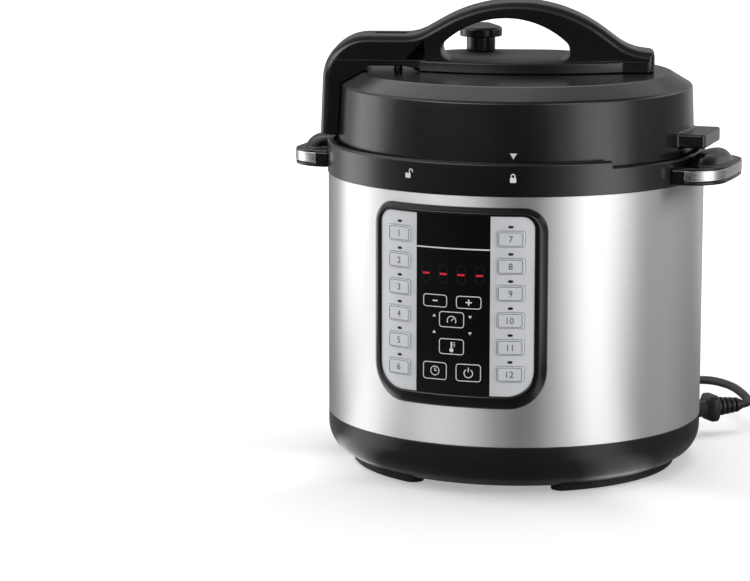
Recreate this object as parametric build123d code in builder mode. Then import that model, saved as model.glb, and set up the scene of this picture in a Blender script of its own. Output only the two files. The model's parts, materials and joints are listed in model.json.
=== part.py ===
"""Electric pressure cooker, six-quart class.

Millimetres. The origin is on the floor under the lid's axis, +Z is up, the control panel
faces -Y and +X is the right side. The lid is drawn closed and locked, so everything on it
stands LID_ANGLE further round than its mid position.
"""

import os
from math import asin, cos, degrees, pi, radians, sin, sqrt, tan

from build123d import *

os.makedirs("parts", exist_ok=True)

# Fits
GAP = 0.3  # between pieces that move past each other
SLIP = 0.15  # between pieces fixed to each other

# Housing, from the floor up
BODY_R = 135.0
STEEL_T = 0.8
FOOT_H = 5.0
FOOT_W = 15.0
FOOT_SPAN = 62.0  # degrees of arc of each foot
FOOT_TURN = 67.0  # middle of the first foot, from the front towards the right
FEET = 3
BASE_H = 31.0
BASE_BAND = 9.0  # upright band at the top of the base
BASE_CREASE_IN = 7.0  # crease of the base, in from the steel
BASE_CREASE_H = 6.0
BASE_FLOOR_IN = 16.5  # edge of the floor of the base, in from the steel
BASE_WALL = 2.5
BASE_LIP_T = 3.0
BASE_LIP_W = 19.5
UPSTAND_H = 6.0  # ring on the base that holds the steel from inside
UPSTAND_T = 1.5
STEEL_H = 174.0
COLLAR_H = 23.0
COLLAR_OVER = 0.6  # how far the collar stands out over the steel
RIM_T = 4.2
RIM_CHAMFER = 1.2
NOTCH_H = 5.0
NOTCH_HALF = 42.8  # degrees to each side of the handle
DECK_H = 7.0  # drip deck above the top of the steel
DECK_IN = 7.0  # bore of the drip deck, in from the steel
LIP_DROP = 6.5  # ledge that carries the outer pot, below the top of the steel
LIP_IN = 14.0  # bore of the ledge, in from the steel
LIP_T = 3.0

# Bottom plate and electrics
PLATE_T = 2.0
SCREW_R = 1.5
SCREW_HEAD_R = 3.3
SCREW_HEAD_H = 1.4
BASE_SCREW_IN = 7.0  # in from the floor lip
BASE_TURN = 20.0  # first screw and vent, in degrees
BASE_SCREWS = 4
VENT = (30.0, 4.0)
VENT_IN = 25.0  # in from the floor lip
VENTS = 8
BASE_LUG = 12.0
BASE_LUG_T = 3.5
STANDOFF_H = 8.0
STANDOFF_R = 3.0
STANDOFF_EDGE = 5.0  # middle of a standoff, from the edges of its board
BOARD_T = 1.6
POWER_BOARD = (80.0, 60.0)
POWER_BOARD_Y = 18.0
POWER_BOARD_IN = 12.247  # outermost standoff, in from the edge of the plate
TRANSFORMER = (20.0, 28.0)
TRANSFORMER_AT = (-22.0, 0.0)
RELAY = (24.0, 14.0)
RELAY_AT = (8.0, 14.0)
CAPACITOR_R = 6.0
CAPACITOR_AT = (10.0, -14.0)
COMPONENT_H = 10.0
CONTROL_BOARD = (74.0, 112.0)
CONTROL_EDGE = 2.0  # more room at the edges of this board
BOARD_BACK = 8.0  # front of the control board, behind the pocket of the bezel
SWITCH_SIZE = (26.0, 18.0, 9.0)
SWITCH_AT = (45.0, -30.0)

# Pots and heater
OUTER_FLOOR_Z = 32.0
OUTER_T = 1.2
OUTER_IN = 5.5  # inside of the outer pot, in from the bore of the ledge
OUTER_FLANGE_PLAY = 1.0  # flange of the outer pot in the drip deck
OUTER_CORNER = 28.5
HEATER_H = 12.5
HEATER_IN = 30.5  # in from the outer pot
HEATER_EDGE = 4.0
ELEMENT_IN = 22.0  # in from the edge of the heater
ELEMENT_W = 14.0
ELEMENT_H = 5.5
SENSOR_R = 14.0
SENSOR_H = 3.0
SENSOR_STEM_R = 5.0
SENSOR_STEM_L = 19.0
SPRING_R = 9.0
SPRING_WIRE = 1.0
SPRING_TURNS = 3
POT_PLAY = 2.0  # cooking pot in the outer pot
POT_T = 1.2
POT_STAND = 2.2  # rim of the cooking pot above the flange of the outer pot
POT_CORNER = 33.0
POT_RIM_W = 4.5
POT_RIM_T = 1.6

# Bayonet
LUGS = 6
LUG_SPAN = 24.0
LUG_PLAY = 1.0
RING_H = 17.0
RING_T = 2.0
RING_LUG_T = 4.0
RING_LUG_W = 7.5
LUG_ROOM = 1.0  # lugs of the lid in the ring

# Lid
LID_ANGLE = 16.3
LID_PLATE_T = 2.2
LID_PLATE_PLAY = 0.7  # between the plate and the lugs of the ring
LID_FLANGE_W = 18.3
LID_DOME_H = 40.5
LID_DOME_T = 1.6
LID_DOME_EDGE = 8.0
SEAL_IN = 4.3  # in from the edge of the lid plate
SEAL_W = 10.5
RACK_PLAY = 1.0
RACK_T = 2.0
RACK_H = 3.0
SKIRT_PLAY = 3.4  # foot of the skirt in the rim
SKIRT_TAPER = 2.0
SKIRT_DIP = 7.0  # below the rim of the collar
SKIRT_RISE = 40.2  # above the rim of the collar
CONE_H = 9.2
CONE_W = 15.4
LID_WALL = 2.4
TAB_AT = -14.0
TAB_OUT = 18.0  # out from the skirt
TAB_W = 52.0
TAB_H = 9.9
TAB_Z = 1.3  # above the rim of the collar
BOSS_R = 6.0
BOSS_AT = 70.0
BOSSES = 4
BOSS_TURN = 45.0  # first boss, in degrees
LID_SCREW_L = 10.0
LID_SCREW_ROOM = 2.0

# Lid handle, heights above the top of the lid
HANDLE_W = 36.0
HANDLE_ROUND = 6.0
LEG_OUT = (12.0, 10.3)  # foot and top of the leg, out from the skirt
LEG_DROP = 46.0
SHOULDER_HOLLOW = (17.0, 4.6)  # run and rise of the dip before the arch
SHOULDER_H = 26.4
SHOULDER_CORNER = 31.0
SHOULDER_END = 80.0
ARCH_START = (-52.6, 36.9)
ARCH_END = (62.0, 30.6)
TAIL_START = (72.0, 23.2)
TAIL_END = (93.0, 15.6)
HANDLE_END = 98.4
WINDOW = (-62.0, 47.0)
WINDOW_H = 38.4
WINDOW_CORNER = 8.0
DECK_SPAN = (-62.0, 48.0)
DECK_BACK = 72.0
DECK_T = 8.0
DECK_CORNER = 30.0
DECK_FRONT = (-70.0, 78.0)
DECK_BULGE = 16.0
UNDERCUT = (18.0, 4.0)  # run and rise of the underside, from the deck to the leg
TAIL_ROUND = 7.0
RECESS = (24.0, 14.0, 2.0)
FLOAT_IN = 15.5  # in from the dome of the lid plate
FLOAT_PIN_R = 3.0
FLOAT_CAP_R = 6.0
FLOAT_RISE = 6.0
FLOAT_SUNK = 7.0
BORE_GAP = 0.6

# Steam valve
VALVE_AT = (-28.0, 58.0)
VALVE_STEM_R = 10.5
VALVE_STEM_H = 10.7
VALVE_CAP_R = 15.5
VALVE_CAP_H = 7.2
LEVER_REACH = 28.0
LEVER_R = 7.0
PIPE_R = 4.0
PIPE_BORE_R = 2.0
PIPE_FLANGE_R = 9.0
PIPE_FOOT_R = 6.5
SHIELD_R = 13.0
SHIELD_H = 15.0
SHIELD_T = 1.4

# Side handles
GRIP_OUT = 26.4  # reach past the steel
GRIP_HALF = 45.5
GRIP_T = 12.0
GRIP_Z = 1.5  # above the top of the steel
GRIP_CORNER = 26.0
GRIP_BULGE = 3.0
PAD_H = 7.5
PAD_IN = 4.0  # middle of the pad, towards the body
PAD_SECTIONS = ((0.54, 0.72, 0.0), (0.39, 0.58, 0.7), (0.17, 0.38, 1.0))  # width, length, height
PAD_SUNK = 0.5
TRIM_H = 7.3
TRIM_T = 1.2
TRIM_PROUD = 0.3
TRIM_Z = 3.0  # above the underside of the handle
TRIM_ROOT = 1.0  # from the body to the ends of the strip

# Control panel
BEZEL_HALF = 61.7
BEZEL_Z = (63.0, 199.0)
BEZEL_CORNER = (25.0, 14.0)
BEZEL_OUT = 7.0  # front of the bezel, out from the steel
BEZEL_BEVEL = 4.5
BEZEL_LAP = 4.5
FACE_HALF = 55.6
FACE_Z = (72.5, 192.5)
FACE_CORNER = (18.0, 8.0)
FACE_OUT = 3.3  # front of the key strips, out from the steel
FACE_T = 1.5
FACE_LEDGE = 2.0
CENTRE_HALF = 26.6
RIB_HALF = 1.5
POCKET_PLAY = 0.5  # behind a key that is pressed in
POCKET_T = 1.9
KEY_TRAVEL = 0.8
KEY_PLAY = 0.8  # between the flange of a key and the strip
KEY_FLANGE_T = 0.8
KEY_LIP = 0.8
KEY_ROUND = 1.8
KEY_PROUD = 1.0
TOUCH_PROUD = 0.5
SIDE_KEY = (18.8, 10.9)
SIDE_KEY_ANGLE = 17.0
SIDE_KEY_TOP_Z = 181.8
SIDE_KEY_PITCH = 18.7
TOUCH_X = 12.2

# Condensation cup and its bracket on the collar
CUP_HALF = 26.0
CUP_OUT = 1.5  # behind the steel
CUP_DEEP = 14.5
CUP_Z = (168.0, 209.8)
CUP_WALL = 1.6
CUP_LIP = 2.6
CUP_LIP_T = 2.0
RAIL_T = 3.0
RAIL_Z = 203.0
RAIL_LIP_T = 2.0
RAIL_GAP = 0.4

# Mains inlet and lead
INLET_ANGLE = 45.0
INLET_Z = 20.0
INLET_SUNK = 1.5  # face of the inlet, in from the steel
INLET_BOSS = (44.0, 25.0)
INLET_FLANGE = (35.0, 23.4)
INLET_FLANGE_T = 1.5
INLET_BODY = (30.0, 19.6)
INLET_DEPTH = 22.0
INLET_WALL = 2.2
PIN = (4.0, 2.0)
PIN_REACH = 12.0
PIN_PITCH = 7.0
NOSE_L = 17.0
GRIP_BODY = (27.0, 18.0)
GRIP_FLARE = (30.0, 21.0)
CONNECTOR_BODY_L = 32.0
FLARE_L = 8.0
FLARE_END_L = 3.0
RELIEF_L = 14.0
RELIEF_R = (5.2, 4.2)
RIBS = 4
RIB_W = 2.0
RIB_OUT = 1.3  # out from the relief
CORD_D = 6.5
COIL_AT = (-10.1, 200.3)
COIL_START = 109.7
COIL_R = 41.0
COIL_STEP = 8.8  # drawn in or out over one turn
COIL_LAYER = 7.1
COIL_TAIL = 14.0
LEAD_OUT = 9.5  # straight run from the connector
LEAD_IN = 33.0  # straight run into the coil
TIE_T = 0.8
TIE_W = 10.0
PLUG_BODY = (26.0, 22.0, 24.0)
PLUG_RELIEF_L = 20.0
PLUG_RELIEF_R = (3.9, 6.8)
BLADE = (6.3, 1.5, 17.0)
BLADE_PITCH = 12.7
EARTH_PIN = (2.4, 20.0)

# Levels that follow from the sizes above
base_top = FOOT_H + BASE_H
steel_top = base_top + STEEL_H
rim_z = steel_top + COLLAR_H
collar_r = BODY_R + COLLAR_OVER
rim_r = collar_r - RIM_T
steel_in = BODY_R - STEEL_T
upstand_r = steel_in - SLIP
lip_z = steel_top - LIP_DROP
flange_z = lip_z + OUTER_T
floor_z = OUTER_FLOOR_Z + OUTER_T
heater_z = floor_z + HEATER_H
pot_z = heater_z + GAP
pot_top = flange_z + POT_STAND
ring_top = flange_z + RING_H
lid_lug_z = ring_top - RING_LUG_T - LUG_PLAY
lid_flange_z = lid_lug_z - LID_PLATE_T
dome_top = lid_flange_z + LID_DOME_H
dome_under = dome_top - LID_DOME_T
skirt_z = rim_z - SKIRT_DIP
shoulder_z = rim_z + SKIRT_RISE
lid_top = shoulder_z + CONE_H
deck_z = lid_top + DECK_T
plate_z = FOOT_H + 0.5
plate_top = plate_z + PLATE_T
face_r = BODY_R + FACE_OUT
face_in = face_r - FACE_T
bezel_r = BODY_R + BEZEL_OUT
flange_out = face_in - KEY_PLAY
flange_in = flange_out - KEY_FLANGE_T
pocket_r = flange_in - KEY_TRAVEL - POCKET_PLAY
back_r = pocket_r - POCKET_T
board_y = back_r - BOARD_BACK
grip_reach = BODY_R + GRIP_OUT
cup_y = (BODY_R + CUP_OUT, BODY_R + CUP_OUT + CUP_DEEP)
inlet_r = BODY_R - INLET_SUNK
crease_r = BODY_R - BASE_CREASE_IN
floor_r = BODY_R - BASE_FLOOR_IN
base_lip_r = floor_r - BASE_LIP_W
base_screw_r = base_lip_r - BASE_SCREW_IN
plate_r = base_lip_r - GAP
board_far = POWER_BOARD_Y + POWER_BOARD[1] / 2 - STANDOFF_EDGE
board_left = sqrt((plate_r - POWER_BOARD_IN) ** 2 - board_far**2)
power_board_at = (POWER_BOARD[0] / 2 - STANDOFF_EDGE - board_left, POWER_BOARD_Y)
deck_r = BODY_R - DECK_IN
lip_r = BODY_R - LIP_IN
outer_r = lip_r - OUTER_IN
outer_flange_r = deck_r - OUTER_FLANGE_PLAY
heater_r = outer_r - HEATER_IN
element_r = heater_r - ELEMENT_IN
pot_r = outer_r - POT_PLAY
pot_in = pot_r - POT_T
pot_rim_r = pot_r + POT_RIM_W
ring_r = outer_flange_r
ring_lug_r = ring_r - RING_LUG_W
lid_lug_r = ring_r - RING_T - LUG_ROOM
lid_plate_r = ring_lug_r - LID_PLATE_PLAY
lid_dome_r = lid_plate_r - LID_FLANGE_W
seal_r = (lid_plate_r - SEAL_IN - SEAL_W, lid_plate_r - SEAL_IN)
rack_r = (seal_r[0] - RACK_PLAY - RACK_T, seal_r[0] - RACK_PLAY)
skirt_r = (rim_r - SKIRT_PLAY, rim_r - SKIRT_PLAY - SKIRT_TAPER)
lid_top_r = skirt_r[1] - CONE_W
tab_r = skirt_r[1] + TAB_OUT
leg_out = (skirt_r[0] + LEG_OUT[0], skirt_r[0] + LEG_OUT[1])
float_x = FLOAT_IN - lid_dome_r


def turned(angle, z=0.0):
    """Level plane at height z with its x axis turned by angle."""
    a = radians(angle)
    return Plane((0, 0, z), x_dir=(cos(a), sin(a), 0), z_dir=(0, 0, 1))


def outward(angle, z):
    """Upright plane on the axis that looks outwards at angle from +X, its y axis up."""
    a = radians(angle)
    return Plane((0, 0, z), x_dir=(-sin(a), cos(a), 0), z_dir=(cos(a), sin(a), 0))


def side_of(angle):
    """Upright plane through the axis, its x axis at angle from +X, its y axis up."""
    a = radians(angle)
    return Plane((0, 0, 0), x_dir=(cos(a), sin(a), 0), z_dir=(sin(a), -cos(a), 0))


def lid_level(z):
    return turned(LID_ANGLE, z)


def ring_of(points):
    """A ring turned about the vertical axis from its (radius, height) outline."""
    with BuildPart() as ring:
        with BuildSketch(Plane.XZ):
            Polygon(*points)
        revolve(axis=Axis.Z)
    return ring.part


def lug_wedges(r_in, r_out):
    """Bayonet lugs, drawn in the open sketch."""
    far = 2 * r_out
    half = radians(LUG_SPAN / 2)
    with PolarLocations(0, LUGS):
        Polygon((0, 0), (far * cos(half), -far * sin(half)), (far * cos(half), far * sin(half)))
    Circle(r_out, mode=Mode.INTERSECT)
    Circle(r_in, mode=Mode.SUBTRACT)


def panel_sheet(half, z_span, corners, r_in, r_out, inset=0.0):
    """Rounded panel outline, drawn through a wall between two radii about the axis."""
    low, high = z_span[0] + inset, z_span[1] - inset
    with BuildPart() as sheet:
        with BuildSketch(Plane.XZ) as outline:
            with Locations((0, (low + high) / 2)):
                Rectangle(2 * (half - inset), high - low)
            ends = outline.vertices().group_by(Axis.Y)
            fillet(ends[0], max(corners[0] - inset, 1.0))
            tops = outline.vertices().group_by(Axis.Y)[-1]
            fillet(tops, max(corners[1] - inset, 1.0))
        extrude(amount=2 * BODY_R)
        with BuildSketch(Plane.XY):
            Circle(r_out)
            Circle(r_in, mode=Mode.SUBTRACT)
        extrude(amount=rim_z, mode=Mode.INTERSECT)
    return sheet.part


def save(part, name):
    part.label = name
    export_step(part, "parts/" + name + ".step")


# Base shell: convex bowl with a crease, floor lip, screw lugs and a flat for the inlet
with BuildPart() as base_shell:
    with BuildSketch(Plane.XZ):
        with BuildLine():
            crease = (crease_r, FOOT_H + BASE_CREASE_H)
            band_z = base_top - BASE_BAND
            in_r = upstand_r - UPSTAND_T
            Line((BODY_R, base_top), (BODY_R, band_z))
            TangentArc((BODY_R, band_z), crease, tangent=(0, -1))
            Polyline(
                crease,
                (floor_r, FOOT_H),
                (base_lip_r, FOOT_H),
                (base_lip_r, FOOT_H + BASE_LIP_T),
                (floor_r, FOOT_H + BASE_LIP_T),
                (crease[0] - 0.6 * BASE_WALL, crease[1] + 0.9 * BASE_WALL),
                (in_r, band_z),
                (in_r, base_top + UPSTAND_H),
                (upstand_r, base_top + UPSTAND_H),
                (upstand_r, base_top),
                (BODY_R, base_top),
            )
        make_face()
    revolve(axis=Axis.Z)
    inlet_in = outward(INLET_ANGLE, INLET_Z).offset(inlet_r - INLET_DEPTH)
    inlet_face = outward(INLET_ANGLE, INLET_Z).offset(inlet_r)
    with BuildSketch(inlet_in):
        Rectangle(*INLET_BOSS)
    extrude(amount=INLET_DEPTH)
    with BuildSketch(inlet_face):
        Rectangle(INLET_FLANGE[0] + 2 * SLIP, INLET_FLANGE[1] + 2 * SLIP)
    extrude(amount=BASE_WALL, mode=Mode.SUBTRACT)
    with BuildSketch(inlet_in.offset(-1.0)):
        Rectangle(INLET_BODY[0] + 2 * SLIP, INLET_BODY[1] + 2 * SLIP)
    extrude(amount=INLET_DEPTH + 2.0, mode=Mode.SUBTRACT)
    with BuildSketch(Plane.XY.offset(plate_top)):
        with PolarLocations(base_screw_r + BASE_LUG / 4, BASE_SCREWS, BASE_TURN):
            Rectangle(1.5 * BASE_LUG, BASE_LUG)
    extrude(amount=BASE_LUG_T)
    with BuildSketch(Plane.XY.offset(plate_top)):
        with PolarLocations(base_screw_r, BASE_SCREWS, BASE_TURN):
            Circle(SCREW_R + SLIP)
    extrude(amount=BASE_LUG_T, mode=Mode.SUBTRACT)
save(base_shell.part, "base_shell")

# Feet: arc pads under the floor lip
with BuildPart() as feet:
    with BuildSketch(Plane.XY):
        with PolarLocations(0, FEET, FOOT_TURN - 90.0):
            foot_line = CenterArc(
                (0, 0),
                floor_r - 1.5 - FOOT_W / 2,
                -FOOT_SPAN / 2,
                FOOT_SPAN,
                mode=Mode.PRIVATE,
            )
            SlotArc(foot_line, FOOT_W)
    extrude(amount=FOOT_H)
save(feet.part, "feet")

# Bottom plate with vents and board standoffs
with BuildPart() as bottom_plate:
    with BuildSketch(Plane.XY.offset(plate_z)):
        Circle(plate_r)
        with PolarLocations(base_lip_r - VENT_IN, VENTS, BASE_TURN):
            SlotOverall(VENT[0], VENT[1], rotation=90, mode=Mode.SUBTRACT)
    extrude(amount=PLATE_T)
    with BuildSketch(Plane.XY.offset(plate_top)):
        with Locations(power_board_at):
            edge = 2 * STANDOFF_EDGE
            with GridLocations(POWER_BOARD[0] - edge, POWER_BOARD[1] - edge, 2, 2):
                Circle(STANDOFF_R)
    extrude(amount=STANDOFF_H)
    with BuildSketch(Plane.XY.offset(plate_z)):
        with PolarLocations(base_screw_r, BASE_SCREWS, BASE_TURN):
            Circle(SCREW_R + SLIP)
    extrude(amount=PLATE_T, mode=Mode.SUBTRACT)
save(bottom_plate.part, "bottom_plate")

# Screws that hold the bottom plate
with BuildPart() as base_screws:
    with BuildSketch(Plane.XY.offset(plate_z)):
        with PolarLocations(base_screw_r, BASE_SCREWS, BASE_TURN):
            Circle(SCREW_HEAD_R)
    extrude(amount=-SCREW_HEAD_H)
    with BuildSketch(Plane.XY.offset(plate_z)):
        with PolarLocations(base_screw_r, BASE_SCREWS, BASE_TURN):
            Circle(SCREW_R)
    extrude(amount=PLATE_T + BASE_LUG_T)
save(base_screws.part, "base_screws")

# Steel wall with the opening for the control panel
panel_hole = panel_sheet(
    BEZEL_HALF, BEZEL_Z, BEZEL_CORNER, steel_in - 5.0, BODY_R + 5.0, BEZEL_LAP
)
with BuildPart() as steel_body:
    with BuildSketch(Plane.XY.offset(base_top)):
        Circle(BODY_R)
        Circle(steel_in, mode=Mode.SUBTRACT)
    extrude(amount=STEEL_H)
    add(panel_hole, mode=Mode.SUBTRACT)
save(steel_body.part, "steel_body")

# Collar: rim, drip deck, ledge for the outer pot, lowered rim at the handles, cup bracket
rail_in = CUP_HALF + CUP_LIP + RAIL_GAP
rail_out = rail_in + RAIL_T
bracket_z = CUP_Z[1] + 2 * RAIL_GAP
collar_form = ring_of(
    [
        (upstand_r, lip_z - LIP_T),
        (upstand_r, steel_top),
        (collar_r, steel_top),
        (collar_r, rim_z - RIM_CHAMFER),
        (collar_r - RIM_CHAMFER, rim_z),
        (rim_r, rim_z),
        (rim_r, steel_top + DECK_H),
        (deck_r, steel_top + DECK_H),
        (deck_r, lip_z),
        (lip_r, lip_z),
        (lip_r, lip_z - LIP_T),
    ]
)
with BuildPart() as collar:
    with BuildSketch(Plane.XY.offset(bracket_z)):
        with Locations((0, (cup_y[1] + BODY_R) / 2)):
            Rectangle(2 * rail_out, cup_y[1] - BODY_R + 1.0)
        with Locations((0, BODY_R - 6.0)):
            Rectangle(2 * rail_out, 12.0)
        Circle(rim_r + 1.0, mode=Mode.SUBTRACT)
    extrude(amount=RAIL_T)
    for side in (-1, 1):
        with BuildSketch(Plane.XY.offset(RAIL_Z)):
            with Locations((side * (rail_in + rail_out) / 2, (cup_y[0] + cup_y[1]) / 2)):
                Rectangle(RAIL_T, cup_y[1] - cup_y[0])
        extrude(amount=bracket_z - RAIL_Z)
        with BuildSketch(Plane.XY.offset(RAIL_Z)):
            lip_half = (rail_out - CUP_HALF - RAIL_GAP) / 2
            with Locations((side * (rail_out - lip_half), (cup_y[0] + cup_y[1]) / 2)):
                Rectangle(2 * lip_half, cup_y[1] - cup_y[0])
        extrude(amount=RAIL_LIP_T)
    add(collar_form)
    far = 2 * collar_r
    notch = radians(NOTCH_HALF)
    with BuildSketch(Plane.XY.offset(rim_z - NOTCH_H)):
        for side in (-1, 1):
            across = side * far * cos(notch)
            Polygon((0, 0), (across, -far * sin(notch)), (across, far * sin(notch)))
    extrude(amount=NOTCH_H, mode=Mode.SUBTRACT)
    with BuildSketch(Plane.XZ.offset(-BODY_R + 10.0)):
        with Locations((0, steel_top + DECK_H + 2.0)):
            Rectangle(12.0, 4.0)
    extrude(amount=-20.0, mode=Mode.SUBTRACT)
    with BuildSketch(Plane.XY.offset(bracket_z)):
        with Locations((0, cup_y[0] + 6.0)):
            Rectangle(12.0, 6.0)
    extrude(amount=RAIL_T, mode=Mode.SUBTRACT)
save(collar.part, "collar")


# Side handles: slab with big corners and a raised pad, chrome strip let into the edge
def grip_outline(grow=0.0):
    """Handle outline for the right side, drawn in the open sketch."""
    half = GRIP_HALF + grow
    end = grip_reach - GRIP_BULGE + grow
    with BuildLine() as edge:
        Polyline((end, half), (BODY_R - 25.0, half), (BODY_R - 25.0, -half), (end, -half))
        ThreePointArc((end, -half), (end + GRIP_BULGE, 0), (end, half))
    make_face(edge.edges())


def grip_corners(sketch, grow=0.0):
    ends = sketch.vertices().group_by(Axis.X)[-1]
    fillet(ends, GRIP_CORNER + grow)


grip_z = steel_top + GRIP_Z
trim_z = grip_z + TRIM_Z
pad_x = (collar_r + grip_reach) / 2
root_r = collar_r + GAP / 3
with BuildPart() as grip_form:
    with BuildSketch(Plane.XY.offset(grip_z)) as grip_sketch:
        grip_outline()
        grip_corners(grip_sketch)
    extrude(amount=GRIP_T)
    chamfer(grip_form.edges().group_by(Axis.Z)[-1], 1.5)
    for wide, long, high in PAD_SECTIONS:
        section_z = grip_z + GRIP_T + (PAD_H * high if high else -PAD_SUNK)
        with BuildSketch(Plane.XY.offset(section_z)):
            with Locations((pad_x - PAD_IN, 0)):
                Ellipse(wide * (grip_reach - collar_r), long * GRIP_HALF)
    loft()
    with BuildSketch(Plane.XY.offset(grip_z - 1.0)):
        Circle(root_r)
    extrude(amount=GRIP_T + PAD_H + 5.0, mode=Mode.SUBTRACT)
    with BuildSketch(Plane.XY.offset(trim_z - SLIP)) as groove_sketch:
        with Locations((grip_reach, 0)):
            Rectangle(2 * (grip_reach - root_r - TRIM_ROOT), 3 * GRIP_HALF)
        with BuildSketch(mode=Mode.PRIVATE) as inner_sketch:
            grip_outline(TRIM_PROUD - TRIM_T - SLIP)
            grip_corners(inner_sketch, TRIM_PROUD - TRIM_T - SLIP)
        add(inner_sketch.sketch, mode=Mode.SUBTRACT)
    extrude(amount=TRIM_H + 2 * SLIP, mode=Mode.SUBTRACT)
with BuildPart() as trim_form:
    with BuildSketch(Plane.XY.offset(trim_z)) as trim_sketch:
        grip_outline(TRIM_PROUD)
        grip_corners(trim_sketch, TRIM_PROUD)
        with BuildSketch(mode=Mode.PRIVATE) as inner_sketch:
            grip_outline(TRIM_PROUD - TRIM_T)
            grip_corners(inner_sketch, TRIM_PROUD - TRIM_T)
        add(inner_sketch.sketch, mode=Mode.SUBTRACT)
        with Locations((grip_reach, 0)):
            Rectangle(2 * (grip_reach - root_r - TRIM_ROOT - SLIP), 3 * GRIP_HALF, mode=Mode.INTERSECT)
    extrude(amount=TRIM_H)
with BuildPart() as side_handle_right:
    add(grip_form.part)
with BuildPart() as handle_trim_right:
    add(trim_form.part)
with BuildPart() as side_handle_left:
    add(mirror(grip_form.part, about=Plane.YZ))
with BuildPart() as handle_trim_left:
    add(mirror(trim_form.part, about=Plane.YZ))
save(side_handle_right.part, "side_handle_right")
save(handle_trim_right.part, "handle_trim_right")
save(side_handle_left.part, "side_handle_left")
save(handle_trim_left.part, "handle_trim_left")

# Outer pot, hung by its flange on the ledge of the collar
with BuildPart() as outer_pot:
    with BuildSketch(Plane.XZ):
        with BuildLine():
            out_r = outer_r + OUTER_T
            bend = OUTER_CORNER + OUTER_T
            hole = SENSOR_STEM_R + GAP
            bend_in = (outer_r - OUTER_CORNER, floor_z)
            bend_out = (out_r - bend, OUTER_FLOOR_Z)
            Polyline(
                (outer_r, floor_z + OUTER_CORNER),
                (outer_r, flange_z),
                (outer_flange_r, flange_z),
                (outer_flange_r, lip_z),
                (out_r, lip_z),
                (out_r, OUTER_FLOOR_Z + bend),
            )
            TangentArc((out_r, OUTER_FLOOR_Z + bend), bend_out, tangent=(0, -1))
            Polyline(bend_out, (hole, OUTER_FLOOR_Z), (hole, floor_z), bend_in)
            TangentArc(bend_in, (outer_r, floor_z + OUTER_CORNER), tangent=(1, 0))
        make_face()
    revolve(axis=Axis.Z)
save(outer_pot.part, "outer_pot")

# Bayonet ring on the flange of the outer pot
with BuildPart() as lock_ring:
    with BuildSketch(Plane.XY.offset(flange_z)):
        Circle(ring_r)
        Circle(ring_r - RING_T, mode=Mode.SUBTRACT)
    extrude(amount=RING_H)
    with BuildSketch(lid_level(ring_top - RING_LUG_T)):
        lug_wedges(ring_lug_r, ring_r - RING_T / 2)
    extrude(amount=RING_LUG_T)
save(lock_ring.part, "lock_ring")

# Heating plate with its element cast in underneath
with BuildPart() as heating_plate:
    add(
        ring_of(
            [
                (SENSOR_R + 1.5, heater_z),
                (SENSOR_R + 1.5, floor_z + ELEMENT_H),
                (element_r - ELEMENT_W / 2, floor_z + ELEMENT_H),
                (element_r - ELEMENT_W / 2, floor_z),
                (element_r + ELEMENT_W / 2, floor_z),
                (element_r + ELEMENT_W / 2, floor_z + ELEMENT_H),
                (heater_r, floor_z + ELEMENT_H),
                (heater_r, heater_z - HEATER_EDGE),
                (heater_r - HEATER_EDGE, heater_z),
            ]
        )
    )
save(heating_plate.part, "heating_plate")

# Temperature sensor, pressed up against the cooking pot by its spring
sensor_z = heater_z - SENSOR_H
with BuildPart() as temperature_sensor:
    with BuildSketch(Plane.XY.offset(sensor_z)):
        Circle(SENSOR_R)
    extrude(amount=SENSOR_H)
    chamfer(temperature_sensor.edges().group_by(Axis.Z)[-1], 1.0)
    with BuildSketch(Plane.XY.offset(sensor_z)):
        Circle(SENSOR_STEM_R)
    extrude(amount=-SENSOR_STEM_L)
save(temperature_sensor.part, "temperature_sensor")

# Pressure switch under the outer pot
with BuildPart() as pressure_switch:
    with BuildSketch(Plane.XY.offset(OUTER_FLOOR_Z)):
        with Locations(SWITCH_AT):
            RectangleRounded(SWITCH_SIZE[0], SWITCH_SIZE[1], 2.0)
    extrude(amount=-SWITCH_SIZE[2])
save(pressure_switch.part, "pressure_switch")

# Power board on the standoffs of the bottom plate
board_z = plate_top + STANDOFF_H
with BuildPart() as power_board:
    with BuildSketch(Plane.XY.offset(board_z)):
        with Locations(power_board_at):
            Rectangle(*POWER_BOARD)
    extrude(amount=BOARD_T)
    with BuildSketch(Plane.XY.offset(board_z + BOARD_T)):
        with Locations(power_board_at):
            with Locations(TRANSFORMER_AT):
                Rectangle(*TRANSFORMER)
            with Locations(RELAY_AT):
                Rectangle(*RELAY)
            with Locations(CAPACITOR_AT):
                Circle(CAPACITOR_R)
    extrude(amount=COMPONENT_H)
save(power_board.part, "power_board")

# Control board behind the panel
board_mid = (FACE_Z[0] + FACE_Z[1]) / 2
with BuildPart() as control_board:
    with BuildSketch(Plane.XZ.offset(board_y)):
        with Locations((0, board_mid)):
            Rectangle(*CONTROL_BOARD)
    extrude(amount=BOARD_T)
save(control_board.part, "control_board")

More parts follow.
